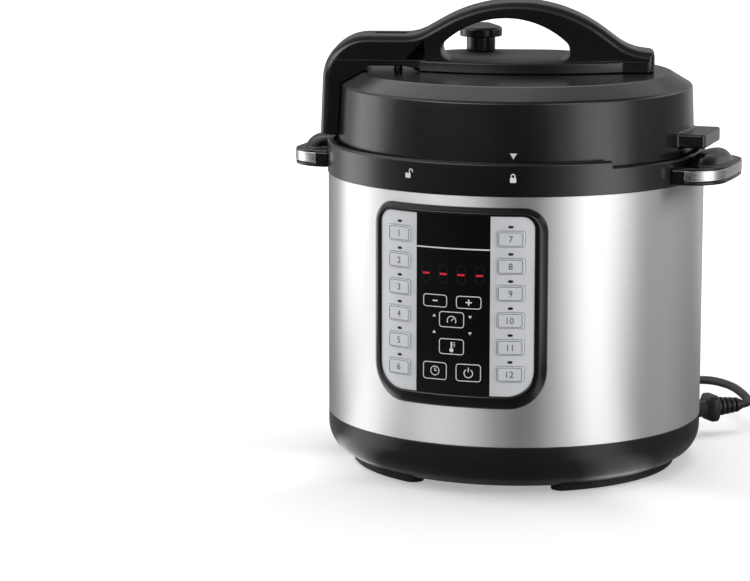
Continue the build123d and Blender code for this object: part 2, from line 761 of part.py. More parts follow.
# Panel bezel: curved frame on the steel, with a pocket behind the key strips
bezel_frame = panel_sheet(BEZEL_HALF, BEZEL_Z, BEZEL_CORNER, BODY_R + SLIP, bezel_r)
bezel_neck = panel_sheet(
    BEZEL_HALF, BEZEL_Z, BEZEL_CORNER, back_r, face_in, BEZEL_LAP + GAP
)
face_hole = panel_sheet(FACE_HALF, FACE_Z, FACE_CORNER, face_in, bezel_r + 5.0)
pocket = panel_sheet(FACE_HALF, FACE_Z, FACE_CORNER, pocket_r, bezel_r, FACE_LEDGE)
with BuildPart() as panel_bezel:
    add(bezel_frame)
    outer_face = panel_bezel.faces().filter_by(GeomType.CYLINDER).sort_by(SortBy.AREA)[-1]
    chamfer(outer_face.outer_wire().edges(), BEZEL_BEVEL)
    add(bezel_neck)
    add(face_hole, mode=Mode.SUBTRACT)
    add(pocket, mode=Mode.SUBTRACT)
    for side in (-1, 1):
        with BuildSketch(Plane.XY.offset(FACE_Z[0])):
            with Locations((side * CENTRE_HALF, -BODY_R)):
                Rectangle(2 * RIB_HALF, 20.0)
            Circle(face_in, mode=Mode.INTERSECT)
            Circle(pocket_r - 0.5, mode=Mode.SUBTRACT)
        extrude(amount=FACE_Z[1] - FACE_Z[0])
    with BuildSketch(Plane.XZ.offset(board_y + BOARD_T)):
        with Locations((0, board_mid)):
            edge = 2 * STANDOFF_EDGE + 2 * CONTROL_EDGE
            with GridLocations(CONTROL_BOARD[0] - edge, CONTROL_BOARD[1] - edge, 2, 2):
                Circle(STANDOFF_R)
    extrude(amount=back_r - board_y - BOARD_T - 2.4)
save(panel_bezel.part, "panel_bezel")


# Keys: name, angle from the front, height, size and how far each stands proud
def key_plane(angle, z):
    """Upright plane on the axis that looks out at angle from the front, its y axis up."""
    return outward(angle - 90.0, z)


keys = []
for row in range(6):
    key_z = SIDE_KEY_TOP_Z - row * SIDE_KEY_PITCH
    keys.append(("key_l" + str(row + 1), -SIDE_KEY_ANGLE, key_z, SIDE_KEY, KEY_PROUD))
    keys.append(("key_r" + str(row + 1), SIDE_KEY_ANGLE, key_z, SIDE_KEY, KEY_PROUD))
touch_angle = degrees(asin(TOUCH_X / face_r))
keys.append(("key_minus", -touch_angle, 137.3, (18.6, 9.4), TOUCH_PROUD))
keys.append(("key_plus", touch_angle, 137.3, (18.6, 9.4), TOUCH_PROUD))
keys.append(("key_pressure", 0.0, 124.8, (18.6, 11.6), TOUCH_PROUD))
keys.append(("key_temperature", 0.0, 106.0, (18.6, 11.6), TOUCH_PROUD))
keys.append(("key_delay", -touch_angle, 88.4, (18.6, 12.8), TOUCH_PROUD))
keys.append(("key_start", touch_angle, 88.4, (18.6, 12.8), TOUCH_PROUD))
for name, angle, key_z, size, proud in keys:
    with BuildPart() as key:
        with BuildSketch(key_plane(angle, key_z).offset(flange_in)):
            Rectangle(size[0] + 2 * KEY_LIP, size[1] + 2 * KEY_LIP)
        extrude(amount=KEY_FLANGE_T)
        with BuildSketch(key_plane(angle, key_z).offset(flange_in)):
            RectangleRounded(size[0], size[1], KEY_ROUND)
        extrude(amount=face_r + proud - flange_in)
    save(key.part, name)

# Key strips at the sides and the dark panel between them, with a hole for each key
face_sheet = panel_sheet(FACE_HALF, FACE_Z, FACE_CORNER, face_in, face_r, SLIP)
strips = {
    "key_strip_left": (-BODY_R, -CENTRE_HALF - SLIP / 2),
    "centre_panel": (-CENTRE_HALF + SLIP / 2, CENTRE_HALF - SLIP / 2),
    "key_strip_right": (CENTRE_HALF + SLIP / 2, BODY_R),
}
for strip_name, (low, high) in strips.items():
    with BuildPart() as strip:
        add(face_sheet)
        with BuildSketch(Plane.XY):
            with Locations(((low + high) / 2, -BODY_R)):
                Rectangle(high - low, BODY_R)
        extrude(amount=rim_z, mode=Mode.INTERSECT)
        for name, angle, key_z, size, proud in keys:
            if low < face_r * sin(radians(angle)) < high:
                with BuildSketch(key_plane(angle, key_z).offset(back_r)):
                    RectangleRounded(size[0] + 2 * GAP, size[1] + 2 * GAP, KEY_ROUND + GAP)
                extrude(amount=bezel_r - back_r, mode=Mode.SUBTRACT)
    save(strip.part, strip_name)

# Mains inlet: recessed socket and its three pins
socket_in = (INLET_BODY[0] - 2 * INLET_WALL, INLET_BODY[1] - 2 * INLET_WALL)
pin_spots = [(-PIN_PITCH, -1.5), (0, 2.5), (PIN_PITCH, -1.5)]
with BuildPart() as inlet_socket:
    with BuildSketch(inlet_in):
        Rectangle(*INLET_BODY)
    extrude(amount=INLET_DEPTH)
    with BuildSketch(inlet_face):
        RectangleRounded(INLET_FLANGE[0], INLET_FLANGE[1], 2.0)
    extrude(amount=INLET_FLANGE_T)
    with BuildSketch(inlet_in.offset(INLET_WALL)):
        Rectangle(*socket_in)
    extrude(amount=INLET_DEPTH, mode=Mode.SUBTRACT)
save(inlet_socket.part, "inlet_socket")
with BuildPart() as inlet_pins:
    with BuildSketch(inlet_in.offset(INLET_WALL)):
        with Locations(*pin_spots):
            Rectangle(PIN[1], PIN[0])
    extrude(amount=PIN_REACH)
save(inlet_pins.part, "inlet_pins")

# Cord connector: nose in the inlet, grip with a flare, tapered strain relief
nose_end = inlet_r + INLET_FLANGE_T + GAP
flare_start = nose_end + CONNECTOR_BODY_L
flare_end = flare_start + FLARE_L + FLARE_END_L
cord_exit = flare_end + RELIEF_L
lead_axis = outward(INLET_ANGLE, INLET_Z)
with BuildPart() as cord_connector:
    with BuildSketch(lead_axis.offset(nose_end - NOSE_L)):
        RectangleRounded(socket_in[0] - 2 * GAP, socket_in[1] - 2 * GAP, 2.0)
    extrude(amount=NOSE_L)
    with BuildSketch(lead_axis.offset(nose_end - NOSE_L)):
        with Locations(*pin_spots):
            Rectangle(PIN[1] + 2 * GAP, PIN[0] + 2 * GAP)
    extrude(amount=PIN_REACH, mode=Mode.SUBTRACT)
    with BuildSketch(lead_axis.offset(nose_end)):
        RectangleRounded(GRIP_BODY[0], GRIP_BODY[1], 4.0)
    extrude(amount=CONNECTOR_BODY_L)
    with BuildSketch(lead_axis.offset(flare_start)):
        RectangleRounded(GRIP_BODY[0], GRIP_BODY[1], 4.0)
    with BuildSketch(lead_axis.offset(flare_start + FLARE_L)):
        RectangleRounded(GRIP_FLARE[0], GRIP_FLARE[1], 5.0)
    loft()
    with BuildSketch(lead_axis.offset(flare_start + FLARE_L)):
        RectangleRounded(GRIP_FLARE[0], GRIP_FLARE[1], 5.0)
    extrude(amount=FLARE_END_L)
    with BuildSketch(lead_axis.offset(flare_end)):
        Circle(RELIEF_R[0])
    with BuildSketch(lead_axis.offset(cord_exit)):
        Circle(RELIEF_R[1])
    loft()
    rib_pitch = RELIEF_L / RIBS
    for i in range(RIBS):
        along = (i + 0.5) * rib_pitch
        rib_r = RELIEF_R[0] + (RELIEF_R[1] - RELIEF_R[0]) * along / RELIEF_L + RIB_OUT
        with BuildSketch(lead_axis.offset(flare_end + along - RIB_W / 2)):
            Circle(rib_r)
        extrude(amount=RIB_W)
save(cord_connector.part, "cord_connector")

# Lead from the connector round behind the cooker: straight runs and tangent arcs
lay_z = CORD_D / 2 + TIE_T + 0.1
run = cos(radians(INLET_ANGLE))
route = [
    (cord_exit * run, cord_exit * run, INLET_Z),
    ((cord_exit + LEAD_OUT) * run, (cord_exit + LEAD_OUT) * run, INLET_Z),
    (131.2, 167.9, 20.5),
    (112.4, 203.2, 19.5),
    (85.5, 231.0, 17.0),
    (49.2, 250.0, 8.0),
]
heading = radians(COIL_START + 90.0)
entry = (
    COIL_AT[0] + COIL_R * cos(radians(COIL_START)),
    COIL_AT[1] + COIL_R * sin(radians(COIL_START)),
)
for back in (CORD_D + LEAD_IN, CORD_D):
    route.append((entry[0] - back * cos(heading), entry[1] - back * sin(heading), lay_z))
radii = []
for before, corner, after in zip(route, route[1:], route[2:]):
    one = Vector(corner) - Vector(before)
    two = Vector(after) - Vector(corner)
    turn = radians(one.get_angle(two))
    radii.append(0.45 * min(one.length, two.length) / tan(turn / 2))
print("lead radii", [round(r, 1) for r in radii])
with BuildPart() as cord_lead:
    with BuildLine():
        lead_line = FilletPolyline(*route, radius=radii)
    with BuildSketch(Plane(lead_line @ 0, z_dir=lead_line % 0)):
        Circle(CORD_D / 2)
    sweep(path=lead_line)
print("lead length", round(lead_line.length, 1))
save(cord_lead.part, "cord_lead")


def biarc(p0, t0, p1, t1):
    """Two arcs that meet smoothly between two points with given directions."""
    v = p1 - p0
    t = t0 + t1
    k = 2 * (1 - t0.dot(t1))
    d = (sqrt(v.dot(t) ** 2 + k * v.dot(v)) - v.dot(t)) / k
    q0 = p0 + t0 * d
    q1 = p1 - t1 * d
    middle = (q0 + q1) * 0.5
    TangentArc(p0, middle, tangent=t0)
    TangentArc(middle, p1, tangent=(q1 - q0).normalized())


def station(centre, angle, r, z, climb=0.0):
    """Point and direction of a wound tube at one angle of its turn."""
    a = radians(angle)
    spot = Vector(centre[0] + r * cos(a), centre[1] + r * sin(a), z)
    return spot, Vector(-sin(a), cos(a), climb).normalized()


# Put-away length of the lead: two layers, spiralling in, up and out again
quarters = []
for i in range(13):
    if i <= 5:
        quarters.append((COIL_R - COIL_STEP * i / 4, lay_z, 0.0))
    elif i == 6:
        r_mid = COIL_R - COIL_STEP * 5 / 4
        quarters.append((r_mid, lay_z + COIL_LAYER / 2, 1.5 * COIL_LAYER / (pi * r_mid)))
    else:
        quarters.append((COIL_R - COIL_STEP * (12 - i) / 4, lay_z + COIL_LAYER, 0.0))
turns = [station(COIL_AT, COIL_START + 90 * i, *quarters[i]) for i in range(13)]
with BuildPart() as cord_coil:
    with BuildLine() as coil_line:
        start, start_dir = turns[0]
        end, end_dir = turns[-1]
        Line(start - start_dir * CORD_D, start)
        for (p0, t0), (p1, t1) in zip(turns, turns[1:]):
            biarc(p0, t0, p1, t1)
        Line(end, end + end_dir * COIL_TAIL)
    coil_wire = coil_line.wire()
    with BuildSketch(Plane(coil_wire @ 0, z_dir=coil_wire % 0)):
        Circle(CORD_D / 2)
    sweep(path=coil_wire)
samples = [coil_wire @ (i / 400) for i in range(401)]
step = coil_wire.length / 400
nearest = min(
    (samples[i] - samples[j]).length
    for i in range(401)
    for j in range(i)
    if (i - j) * step > 4 * CORD_D
)
print("coil length", round(coil_wire.length, 1), "least gap", round(nearest - CORD_D, 2))
save(cord_coil.part, "cord_coil")

# Tie round the turns of the coil
tie_angle = COIL_START + 180.0
a = radians(tie_angle)
tie_plane = Plane(
    (COIL_AT[0], COIL_AT[1], 0), x_dir=(cos(a), sin(a), 0), z_dir=(sin(a), -cos(a), 0)
)
tie_r = (COIL_R - COIL_STEP * 5 / 4 - CORD_D / 2 - 0.9, COIL_R - COIL_STEP / 2 + CORD_D / 2 + 0.3)
tie_z = (TIE_T, lay_z + COIL_LAYER + CORD_D / 2 + 0.3)
with BuildPart() as cord_tie:
    with BuildSketch(tie_plane):
        with Locations(((tie_r[0] + tie_r[1]) / 2, (tie_z[0] + tie_z[1]) / 2)):
            wide, high = tie_r[1] - tie_r[0], tie_z[1] - tie_z[0]
            Rectangle(wide + 2 * TIE_T, high + 2 * TIE_T)
            Rectangle(wide, high, mode=Mode.SUBTRACT)
    extrude(amount=TIE_W / 2, both=True)
save(cord_tie.part, "cord_tie")

# Wall plug on the end of the lead
plug_axis = Plane(
    end + end_dir * COIL_TAIL, x_dir=(-end_dir.Y, end_dir.X, 0), z_dir=end_dir
)
with BuildPart() as wall_plug:
    with BuildSketch(plug_axis):
        Circle(PLUG_RELIEF_R[0])
    with BuildSketch(plug_axis.offset(PLUG_RELIEF_L)):
        Circle(PLUG_RELIEF_R[1])
    loft()
    with BuildSketch(plug_axis.offset(PLUG_RELIEF_L)):
        RectangleRounded(PLUG_BODY[0], PLUG_BODY[1], 5.0)
    extrude(amount=PLUG_BODY[2])
save(wall_plug.part, "wall_plug")
plug_face = plug_axis.offset(PLUG_RELIEF_L + PLUG_BODY[2])
with BuildPart() as plug_blades:
    with BuildSketch(plug_face):
        with Locations((-BLADE_PITCH / 2, 4.0), (BLADE_PITCH / 2, 4.0)):
            Rectangle(BLADE[1], BLADE[0])
    extrude(amount=BLADE[2])
    with BuildSketch(plug_face):
        with Locations((0, -7.0)):
            Circle(EARTH_PIN[0])
    extrude(amount=EARTH_PIN[1])
save(plug_blades.part, "plug_blades")

# Spring of the temperature sensor, on the floor of the outer pot
spring_z = (floor_z + SPRING_WIRE / 2 + 0.1, sensor_z - SPRING_WIRE / 2 - 0.1)
rise = (spring_z[1] - spring_z[0]) / (4 * SPRING_TURNS)
slope = 4 * rise / (2 * pi * SPRING_R)
with BuildPart() as sensor_spring:
    with BuildLine() as spring_line:
        coils = [
            station((0, 0), 90 * i, SPRING_R, spring_z[0] + rise * i, slope)
            for i in range(4 * SPRING_TURNS + 1)
        ]
        for (p0, t0), (p1, t1) in zip(coils, coils[1:]):
            biarc(p0, t0, p1, t1)
    spring_wire = spring_line.wire()
    with BuildSketch(Plane(spring_wire @ 0, z_dir=spring_wire % 0)):
        Circle(SPRING_WIRE / 2)
    sweep(path=spring_wire)
save(sensor_spring.part, "sensor_spring")

# Condensation cup, hung by its side lips in the bracket
with BuildPart() as condensation_cup:
    cup_mid = (0, (cup_y[0] + cup_y[1]) / 2)
    cup_deep = cup_y[1] - cup_y[0]
    with BuildSketch(Plane.XY.offset(CUP_Z[0])):
        with Locations(cup_mid):
            RectangleRounded(2 * CUP_HALF, cup_deep, 3.0)
    extrude(amount=CUP_Z[1] - CUP_Z[0])
    with BuildSketch(Plane.XY.offset(RAIL_Z + RAIL_LIP_T + GAP)):
        with Locations(cup_mid):
            Rectangle(2 * (CUP_HALF + CUP_LIP), cup_deep - 2.0)
    extrude(amount=CUP_LIP_T)
    with BuildSketch(Plane.XY.offset(CUP_Z[0] + CUP_WALL)):
        with Locations(cup_mid):
            RectangleRounded(2 * (CUP_HALF - CUP_WALL), cup_deep - 2 * CUP_WALL, 2.0)
    extrude(amount=CUP_Z[1] - CUP_Z[0], mode=Mode.SUBTRACT)
save(condensation_cup.part, "condensation_cup")

# Cooking pot
with BuildPart() as cooking_pot:
    with BuildSketch(Plane.XZ):
        with BuildLine():
            bowl = POT_CORNER - POT_T
            flat = pot_r - POT_CORNER
            Polyline((0, pot_z + POT_T), (0, pot_z), (flat, pot_z))
            TangentArc((flat, pot_z), (pot_r, pot_z + POT_CORNER), tangent=(1, 0))
            Polyline(
                (pot_r, pot_z + POT_CORNER),
                (pot_r, pot_top - POT_RIM_T),
                (pot_rim_r, pot_top - POT_RIM_T),
                (pot_rim_r, pot_top),
                (pot_in, pot_top),
                (pot_in, pot_z + POT_T + bowl),
            )
            TangentArc((pot_in, pot_z + POT_T + bowl), (flat, pot_z + POT_T), tangent=(0, -1))
            Line((flat, pot_z + POT_T), (0, pot_z + POT_T))
        make_face()
    revolve(axis=Axis.Z)
save(cooking_pot.part, "cooking_pot")

# Lid plate: domed steel with the bayonet lugs on its flange
with BuildPart() as lid_plate:
    with BuildSketch(Plane.XZ):
        with BuildLine():
            dome_in = lid_dome_r - LID_DOME_T
            edge_in = LID_DOME_EDGE
            edge_out = LID_DOME_EDGE + LID_DOME_T
            Polyline((0, dome_top), (0, dome_under), (dome_in - edge_in, dome_under))
            TangentArc(
                (dome_in - edge_in, dome_under), (dome_in, dome_under - edge_in), tangent=(1, 0)
            )
            Polyline(
                (dome_in, dome_under - edge_in),
                (dome_in, lid_flange_z),
                (lid_plate_r, lid_flange_z),
                (lid_plate_r, lid_lug_z),
                (lid_dome_r, lid_lug_z),
                (lid_dome_r, dome_top - edge_out),
            )
            TangentArc(
                (lid_dome_r, dome_top - edge_out), (lid_dome_r - edge_out, dome_top), tangent=(0, 1)
            )
            Line((lid_dome_r - edge_out, dome_top), (0, dome_top))
        make_face()
    revolve(axis=Axis.Z)
    with BuildSketch(lid_level(lid_flange_z)):
        lug_wedges(lid_plate_r - 1.0, lid_lug_r)
    extrude(amount=LID_PLATE_T)
    with BuildSketch(lid_level(dome_under)):
        with Locations(VALVE_AT):
            Circle(PIPE_R + SLIP)
        with Locations((float_x, 0)):
            Circle(FLOAT_PIN_R + BORE_GAP)
        with PolarLocations(BOSS_AT, BOSSES, BOSS_TURN):
            Circle(SCREW_R + SLIP)
    extrude(amount=LID_DOME_T, mode=Mode.SUBTRACT)
save(lid_plate.part, "lid_plate")

# Sealing ring between the flange of the lid plate and the rim of the cooking pot
seal_z = (pot_top + GAP, lid_flange_z - GAP)
seal_mid = (seal_r[0] + seal_r[1]) / 2
with BuildPart() as sealing_ring:
    add(
        ring_of(
            [
                (seal_r[0], seal_z[1]),
                (seal_r[0], seal_z[0] + 2.0),
                (seal_mid - 2.0, seal_z[0] + 2.0),
                (seal_mid, seal_z[1] - 2.0),
                (seal_r[1] - 2.5, seal_z[0]),
                (seal_r[1], seal_z[0]),
                (seal_r[1], seal_z[1]),
            ]
        )
    )
save(sealing_ring.part, "sealing_ring")

# Rack that keeps the sealing ring in place
with BuildPart() as gasket_rack:
    with BuildSketch(Plane.XY.offset(seal_z[0] + 1.0)):
        Circle(rack_r[1])
        Circle(rack_r[0], mode=Mode.SUBTRACT)
    extrude(amount=RACK_H)
    with BuildSketch(lid_level(seal_z[0] + 1.0)):
        with PolarLocations((rack_r[0] + rack_r[1]) / 2, 6):
            Rectangle(rack_r[1] - rack_r[0] - 0.4, 4.0)
    extrude(amount=lid_flange_z - seal_z[0] - 1.0)
save(gasket_rack.part, "gasket_rack")

# Lid cover: skirt, cone and flat top, hollow below, with the tab and screw bosses
lid_outline = [
    (0, skirt_z),
    (skirt_r[0], skirt_z),
    (skirt_r[1], shoulder_z),
    (lid_top_r, lid_top),
    (0, lid_top),
]
lid_hollow = [
    (0, skirt_z - 1.0),
    (skirt_r[0] - LID_WALL, skirt_z - 1.0),
    (skirt_r[1] - LID_WALL, shoulder_z - 0.4 * LID_WALL),
    (lid_top_r - 0.4 * LID_WALL, lid_top - LID_WALL),
    (0, lid_top - LID_WALL),
]
lid_form = ring_of(lid_outline)
hollow_form = ring_of(lid_hollow)
with BuildPart() as lid_cover:
    add(lid_form)
    with BuildSketch(turned(LID_ANGLE + TAB_AT, rim_z + TAB_Z)):
        with Locations(((tab_r + skirt_r[1] - 20.0) / 2, 0)):
            RectangleRounded(tab_r - skirt_r[1] + 20.0, TAB_W, 3.0)
    extrude(amount=TAB_H)
    add(hollow_form, mode=Mode.SUBTRACT)
    with BuildSketch(lid_level(dome_top)):
        with PolarLocations(BOSS_AT, BOSSES, BOSS_TURN):
            Circle(BOSS_R)
    extrude(amount=lid_top - LID_WALL / 2 - dome_top)
    with BuildSketch(lid_level(dome_top)):
        with PolarLocations(BOSS_AT, BOSSES, BOSS_TURN):
            Circle(SCREW_R + SLIP)
    extrude(amount=LID_SCREW_L + LID_SCREW_ROOM, mode=Mode.SUBTRACT)
    with BuildSketch(lid_level(lid_top - 2 * LID_WALL)):
        with Locations(VALVE_AT):
            Circle(PIPE_R + BORE_GAP)
        with Locations((float_x, 0)):
            Circle(FLOAT_PIN_R + BORE_GAP)
    extrude(amount=3 * LID_WALL, mode=Mode.SUBTRACT)
save(lid_cover.part, "lid_cover")

# Screws that hold the lid plate to the bosses of the cover
with BuildPart() as lid_screws:
    with BuildSketch(lid_level(dome_under)):
        with PolarLocations(BOSS_AT, BOSSES, BOSS_TURN):
            Circle(SCREW_HEAD_R)
    extrude(amount=-SCREW_HEAD_H)
    with BuildSketch(lid_level(dome_under)):
        with PolarLocations(BOSS_AT, BOSSES, BOSS_TURN):
            Circle(SCREW_R)
    extrude(amount=LID_DOME_T + LID_SCREW_L)
save(lid_screws.part, "lid_screws")

# Lid handle: leg, shoulder, arch over the window and tail, with the deck for the valve
handle_side = side_of(LID_ANGLE)
seat_form = ring_of([(r + (SLIP if r else 0), z) for r, z in lid_outline])
with BuildPart() as lid_handle:
    with BuildSketch(handle_side):
        with BuildLine():
            corner_z = lid_top + SHOULDER_H - SHOULDER_CORNER
            foot_z = lid_top - LEG_DROP
            leg = Line((-leg_out[0], foot_z), (-leg_out[1], corner_z))
            knee = TangentArc(
                leg @ 1,
                (-leg_out[1] + SHOULDER_CORNER + 1.0, lid_top + SHOULDER_H),
                tangent=leg % 1,
            )
            ledge = Line(knee @ 1, (-SHOULDER_END, lid_top + SHOULDER_H))
            hollow_end = (
                -SHOULDER_END + SHOULDER_HOLLOW[0],
                lid_top + SHOULDER_H + SHOULDER_HOLLOW[1],
            )
            hollow = TangentArc(ledge @ 1, hollow_end, tangent=(1, 0))
            ramp = Line(hollow @ 1, (ARCH_START[0], lid_top + ARCH_START[1]))
            arch = TangentArc(ramp @ 1, (ARCH_END[0], lid_top + ARCH_END[1]), tangent=ramp % 1)
            slope_down = Line(arch @ 1, (TAIL_START[0], lid_top + TAIL_START[1]))
            tail = TangentArc(
                slope_down @ 1, (TAIL_END[0], lid_top + TAIL_END[1]), tangent=slope_down % 1
            )
            Polyline(
                tail @ 1,
                (HANDLE_END - 2.0, lid_top + TAIL_END[1] - 0.5),
                (HANDLE_END, lid_top + TAIL_END[1] - 3.0),
                (HANDLE_END, lid_top),
                (DECK_SPAN[0], lid_top),
                (DECK_SPAN[0] - UNDERCUT[0], lid_top + UNDERCUT[1]),
                (-lid_top_r + 5.0, lid_top + UNDERCUT[1]),
                (-lid_top_r + 5.0, foot_z),
                leg @ 0,
            )
        make_face()
    extrude(amount=HANDLE_W / 2, both=True)
    crest = [e for e in lid_handle.edges() if e.center().Z > lid_top + TAIL_END[1] + 0.8]
    sides = [e for e in crest if abs((e @ 0 - e @ 1).dot(handle_side.z_dir)) < 1.0]
    sides = [e for e in sides if e.center().Z > lid_top + SHOULDER_H - 0.1 or e.center().X > 0]
    fillet(sides, HANDLE_ROUND)
    with BuildSketch(lid_level(foot_z)) as tail_sketch:
        with Locations(((HANDLE_END - leg_out[0] - 1.0) / 2, 0)):
            Rectangle(HANDLE_END + leg_out[0] + 1.0, HANDLE_W + 1.0)
        fillet(tail_sketch.vertices().group_by(Axis.X)[-1], TAIL_ROUND)
    extrude(amount=2 * LEG_DROP + 2 * SHOULDER_H, mode=Mode.INTERSECT)
    with BuildSketch(handle_side) as window_sketch:
        with BuildLine():
            window_mid = (WINDOW[0] + WINDOW[1]) / 2
            ThreePointArc(
                (WINDOW[0], deck_z), (window_mid, lid_top + WINDOW_H), (WINDOW[1], deck_z)
            )
            Line((WINDOW[0], deck_z), (WINDOW[1], deck_z))
        make_face()
        fillet(window_sketch.vertices(), WINDOW_CORNER)
    extrude(amount=HANDLE_W, both=True, mode=Mode.SUBTRACT)
    with BuildSketch(lid_level(lid_top)) as deck_sketch:
        with Locations(((DECK_SPAN[0] + DECK_SPAN[1]) / 2, DECK_BACK / 2)):
            Rectangle(DECK_SPAN[1] - DECK_SPAN[0], DECK_BACK)
        backs = deck_sketch.vertices().sort_by(Axis.Y)[-2:]
        fillet(backs, DECK_CORNER)
        with BuildLine() as front:
            left_end, right_end = [(x, -HANDLE_W / 2 + 1.0) for x in DECK_FRONT]
            Polyline(left_end, (left_end[0], 0), (right_end[0], 0), right_end)
            front_mid = ((DECK_FRONT[0] + DECK_FRONT[1]) / 2, -HANDLE_W / 2 - DECK_BULGE)
            ThreePointArc(left_end, front_mid, right_end)
        make_face(front.edges())
    extrude(amount=DECK_T)
    add(seat_form, mode=Mode.SUBTRACT)
    with BuildSketch(lid_level(lid_top + SHOULDER_H - RECESS[2])):
        with Locations((float_x - 5.0, 0)):
            RectangleRounded(RECESS[0], RECESS[1], 3.0)
    extrude(amount=2 * RECESS[2], mode=Mode.SUBTRACT)
    with BuildSketch(lid_level(lid_top - 1.0)):
        with Locations((float_x, 0)):
            Circle(FLOAT_PIN_R + BORE_GAP)
        with Locations(VALVE_AT):
            Circle(PIPE_R + BORE_GAP)
    extrude(amount=2 * SHOULDER_H, mode=Mode.SUBTRACT)
save(lid_handle.part, "lid_handle")

# Vent pipe through plate, cover and deck
shield_top = dome_under - SLIP
shield_under = shield_top - SHIELD_T
valve_z = deck_z + GAP
pipe_top = valve_z + VALVE_STEM_H - 2.5
with BuildPart() as vent_pipe:
    for low, high, r in (
        (shield_under - 2.5, pipe_top, PIPE_R),
        (dome_top, dome_top + 2.5, PIPE_FLANGE_R),
        (shield_under - 2.5, shield_under - SLIP, PIPE_FOOT_R),
    ):
        with BuildSketch(lid_level(low)):
            with Locations(VALVE_AT):
                Circle(r)
        extrude(amount=high - low)
    with BuildSketch(lid_level(shield_under - 2.5)):
        with Locations(VALVE_AT):
            Circle(PIPE_BORE_R)
    extrude(amount=pipe_top - shield_under + 2.5, mode=Mode.SUBTRACT)
save(vent_pipe.part, "vent_pipe")

# Slotted shield round the lower end of the vent pipe
shield_z = shield_top - SHIELD_H
with BuildPart() as vent_shield:
    with BuildSketch(lid_level(shield_z)):
        with Locations(VALVE_AT):
            Circle(SHIELD_R)
    extrude(amount=SHIELD_H)
    with BuildSketch(lid_level(shield_z + SHIELD_T)):
        with Locations(VALVE_AT):
            Circle(SHIELD_R - SHIELD_T)
    extrude(amount=SHIELD_H - 2 * SHIELD_T, mode=Mode.SUBTRACT)
    with BuildSketch(lid_level(shield_under)):
        with Locations(VALVE_AT):
            Circle(PIPE_R + SLIP)
    extrude(amount=SHIELD_T, mode=Mode.SUBTRACT)
    with BuildSketch(lid_level(shield_z + 3.0)):
        with Locations(VALVE_AT):
            with PolarLocations(SHIELD_R, 8):
                Rectangle(6.0, 3.0)
    extrude(amount=SHIELD_H - 6.0, mode=Mode.SUBTRACT)
save(vent_shield.part, "vent_shield")

# Steam valve: stem over the vent pipe, round cap with a lever to the rear
with BuildPart() as steam_valve:
    with BuildSketch(lid_level(valve_z)):
        with Locations(VALVE_AT):
            Circle(VALVE_STEM_R)
    extrude(amount=VALVE_STEM_H)
    with BuildSketch(lid_level(valve_z + VALVE_STEM_H)):
        with Locations(VALVE_AT):
            Circle(VALVE_CAP_R)
        with Locations((VALVE_AT[0], VALVE_AT[1] + LEVER_REACH)):
            Circle(LEVER_R)
        make_hull()
    extrude(amount=VALVE_CAP_H)
    chamfer(steam_valve.edges().group_by(Axis.Z)[-1], 1.5)
    with BuildSketch(lid_level(valve_z)):
        with Locations(VALVE_AT):
            Circle(PIPE_R + GAP)
    extrude(amount=VALVE_STEM_H - 1.5, mode=Mode.SUBTRACT)
save(steam_valve.part, "steam_valve")

# Float valve: pin with a stop above the lid plate and a sealing cap below it
float_top = lid_top + SHOULDER_H - FLOAT_SUNK
cap_top = dome_under - GAP - FLOAT_RISE
with BuildPart() as float_valve:
    for low, high, r in (
        (cap_top - 2.5, float_top, FLOAT_PIN_R),
        (cap_top - 2.5, cap_top, FLOAT_CAP_R),
        (dome_top + GAP, dome_top + GAP + 1.5, FLOAT_CAP_R),
    ):
        with BuildSketch(lid_level(low)):
            with Locations((float_x, 0)):
                Circle(r)
        extrude(amount=high - low)
save(float_valve.part, "float_valve")
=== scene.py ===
"""Looks of a countertop electric pressure cooker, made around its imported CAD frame."""

import json
import math

import bmesh
import bpy
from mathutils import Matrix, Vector

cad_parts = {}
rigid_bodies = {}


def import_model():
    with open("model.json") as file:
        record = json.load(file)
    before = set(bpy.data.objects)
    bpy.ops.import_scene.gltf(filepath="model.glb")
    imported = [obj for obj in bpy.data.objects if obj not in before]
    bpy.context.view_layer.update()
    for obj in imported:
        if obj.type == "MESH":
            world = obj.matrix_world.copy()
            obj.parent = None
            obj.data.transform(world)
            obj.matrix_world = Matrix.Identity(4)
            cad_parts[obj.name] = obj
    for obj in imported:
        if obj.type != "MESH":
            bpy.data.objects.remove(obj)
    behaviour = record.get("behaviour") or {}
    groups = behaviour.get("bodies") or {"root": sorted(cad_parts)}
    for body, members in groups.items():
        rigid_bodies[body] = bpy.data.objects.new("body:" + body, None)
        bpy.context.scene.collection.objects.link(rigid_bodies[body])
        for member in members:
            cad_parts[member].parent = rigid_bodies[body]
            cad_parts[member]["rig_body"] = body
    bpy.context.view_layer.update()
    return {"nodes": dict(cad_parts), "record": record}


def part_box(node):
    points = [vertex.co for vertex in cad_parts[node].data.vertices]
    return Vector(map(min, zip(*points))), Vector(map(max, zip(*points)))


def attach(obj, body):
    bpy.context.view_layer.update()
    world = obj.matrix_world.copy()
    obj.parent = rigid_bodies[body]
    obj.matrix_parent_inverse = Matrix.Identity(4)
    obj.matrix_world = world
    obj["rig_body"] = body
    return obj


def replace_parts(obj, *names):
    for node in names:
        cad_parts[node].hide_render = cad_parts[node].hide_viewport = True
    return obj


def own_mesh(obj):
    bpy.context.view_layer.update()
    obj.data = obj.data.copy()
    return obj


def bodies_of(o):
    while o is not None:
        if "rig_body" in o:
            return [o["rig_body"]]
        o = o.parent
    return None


bl_info = {
    "name": "Electric Pressure Cooker",
    "version": (1, 0, 0),
    "blender": (4, 5, 0),
    "location": "View3D > Sidebar > Cooker",
    "description": "Finishes, printing, lamps and mains lead of an electric pressure cooker",
    "category": "Object",
}

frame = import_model()
NODES = frame["nodes"]
# Named sizes are in millimetres, and those of the studio and the length of the lead in metres
MM = 0.001

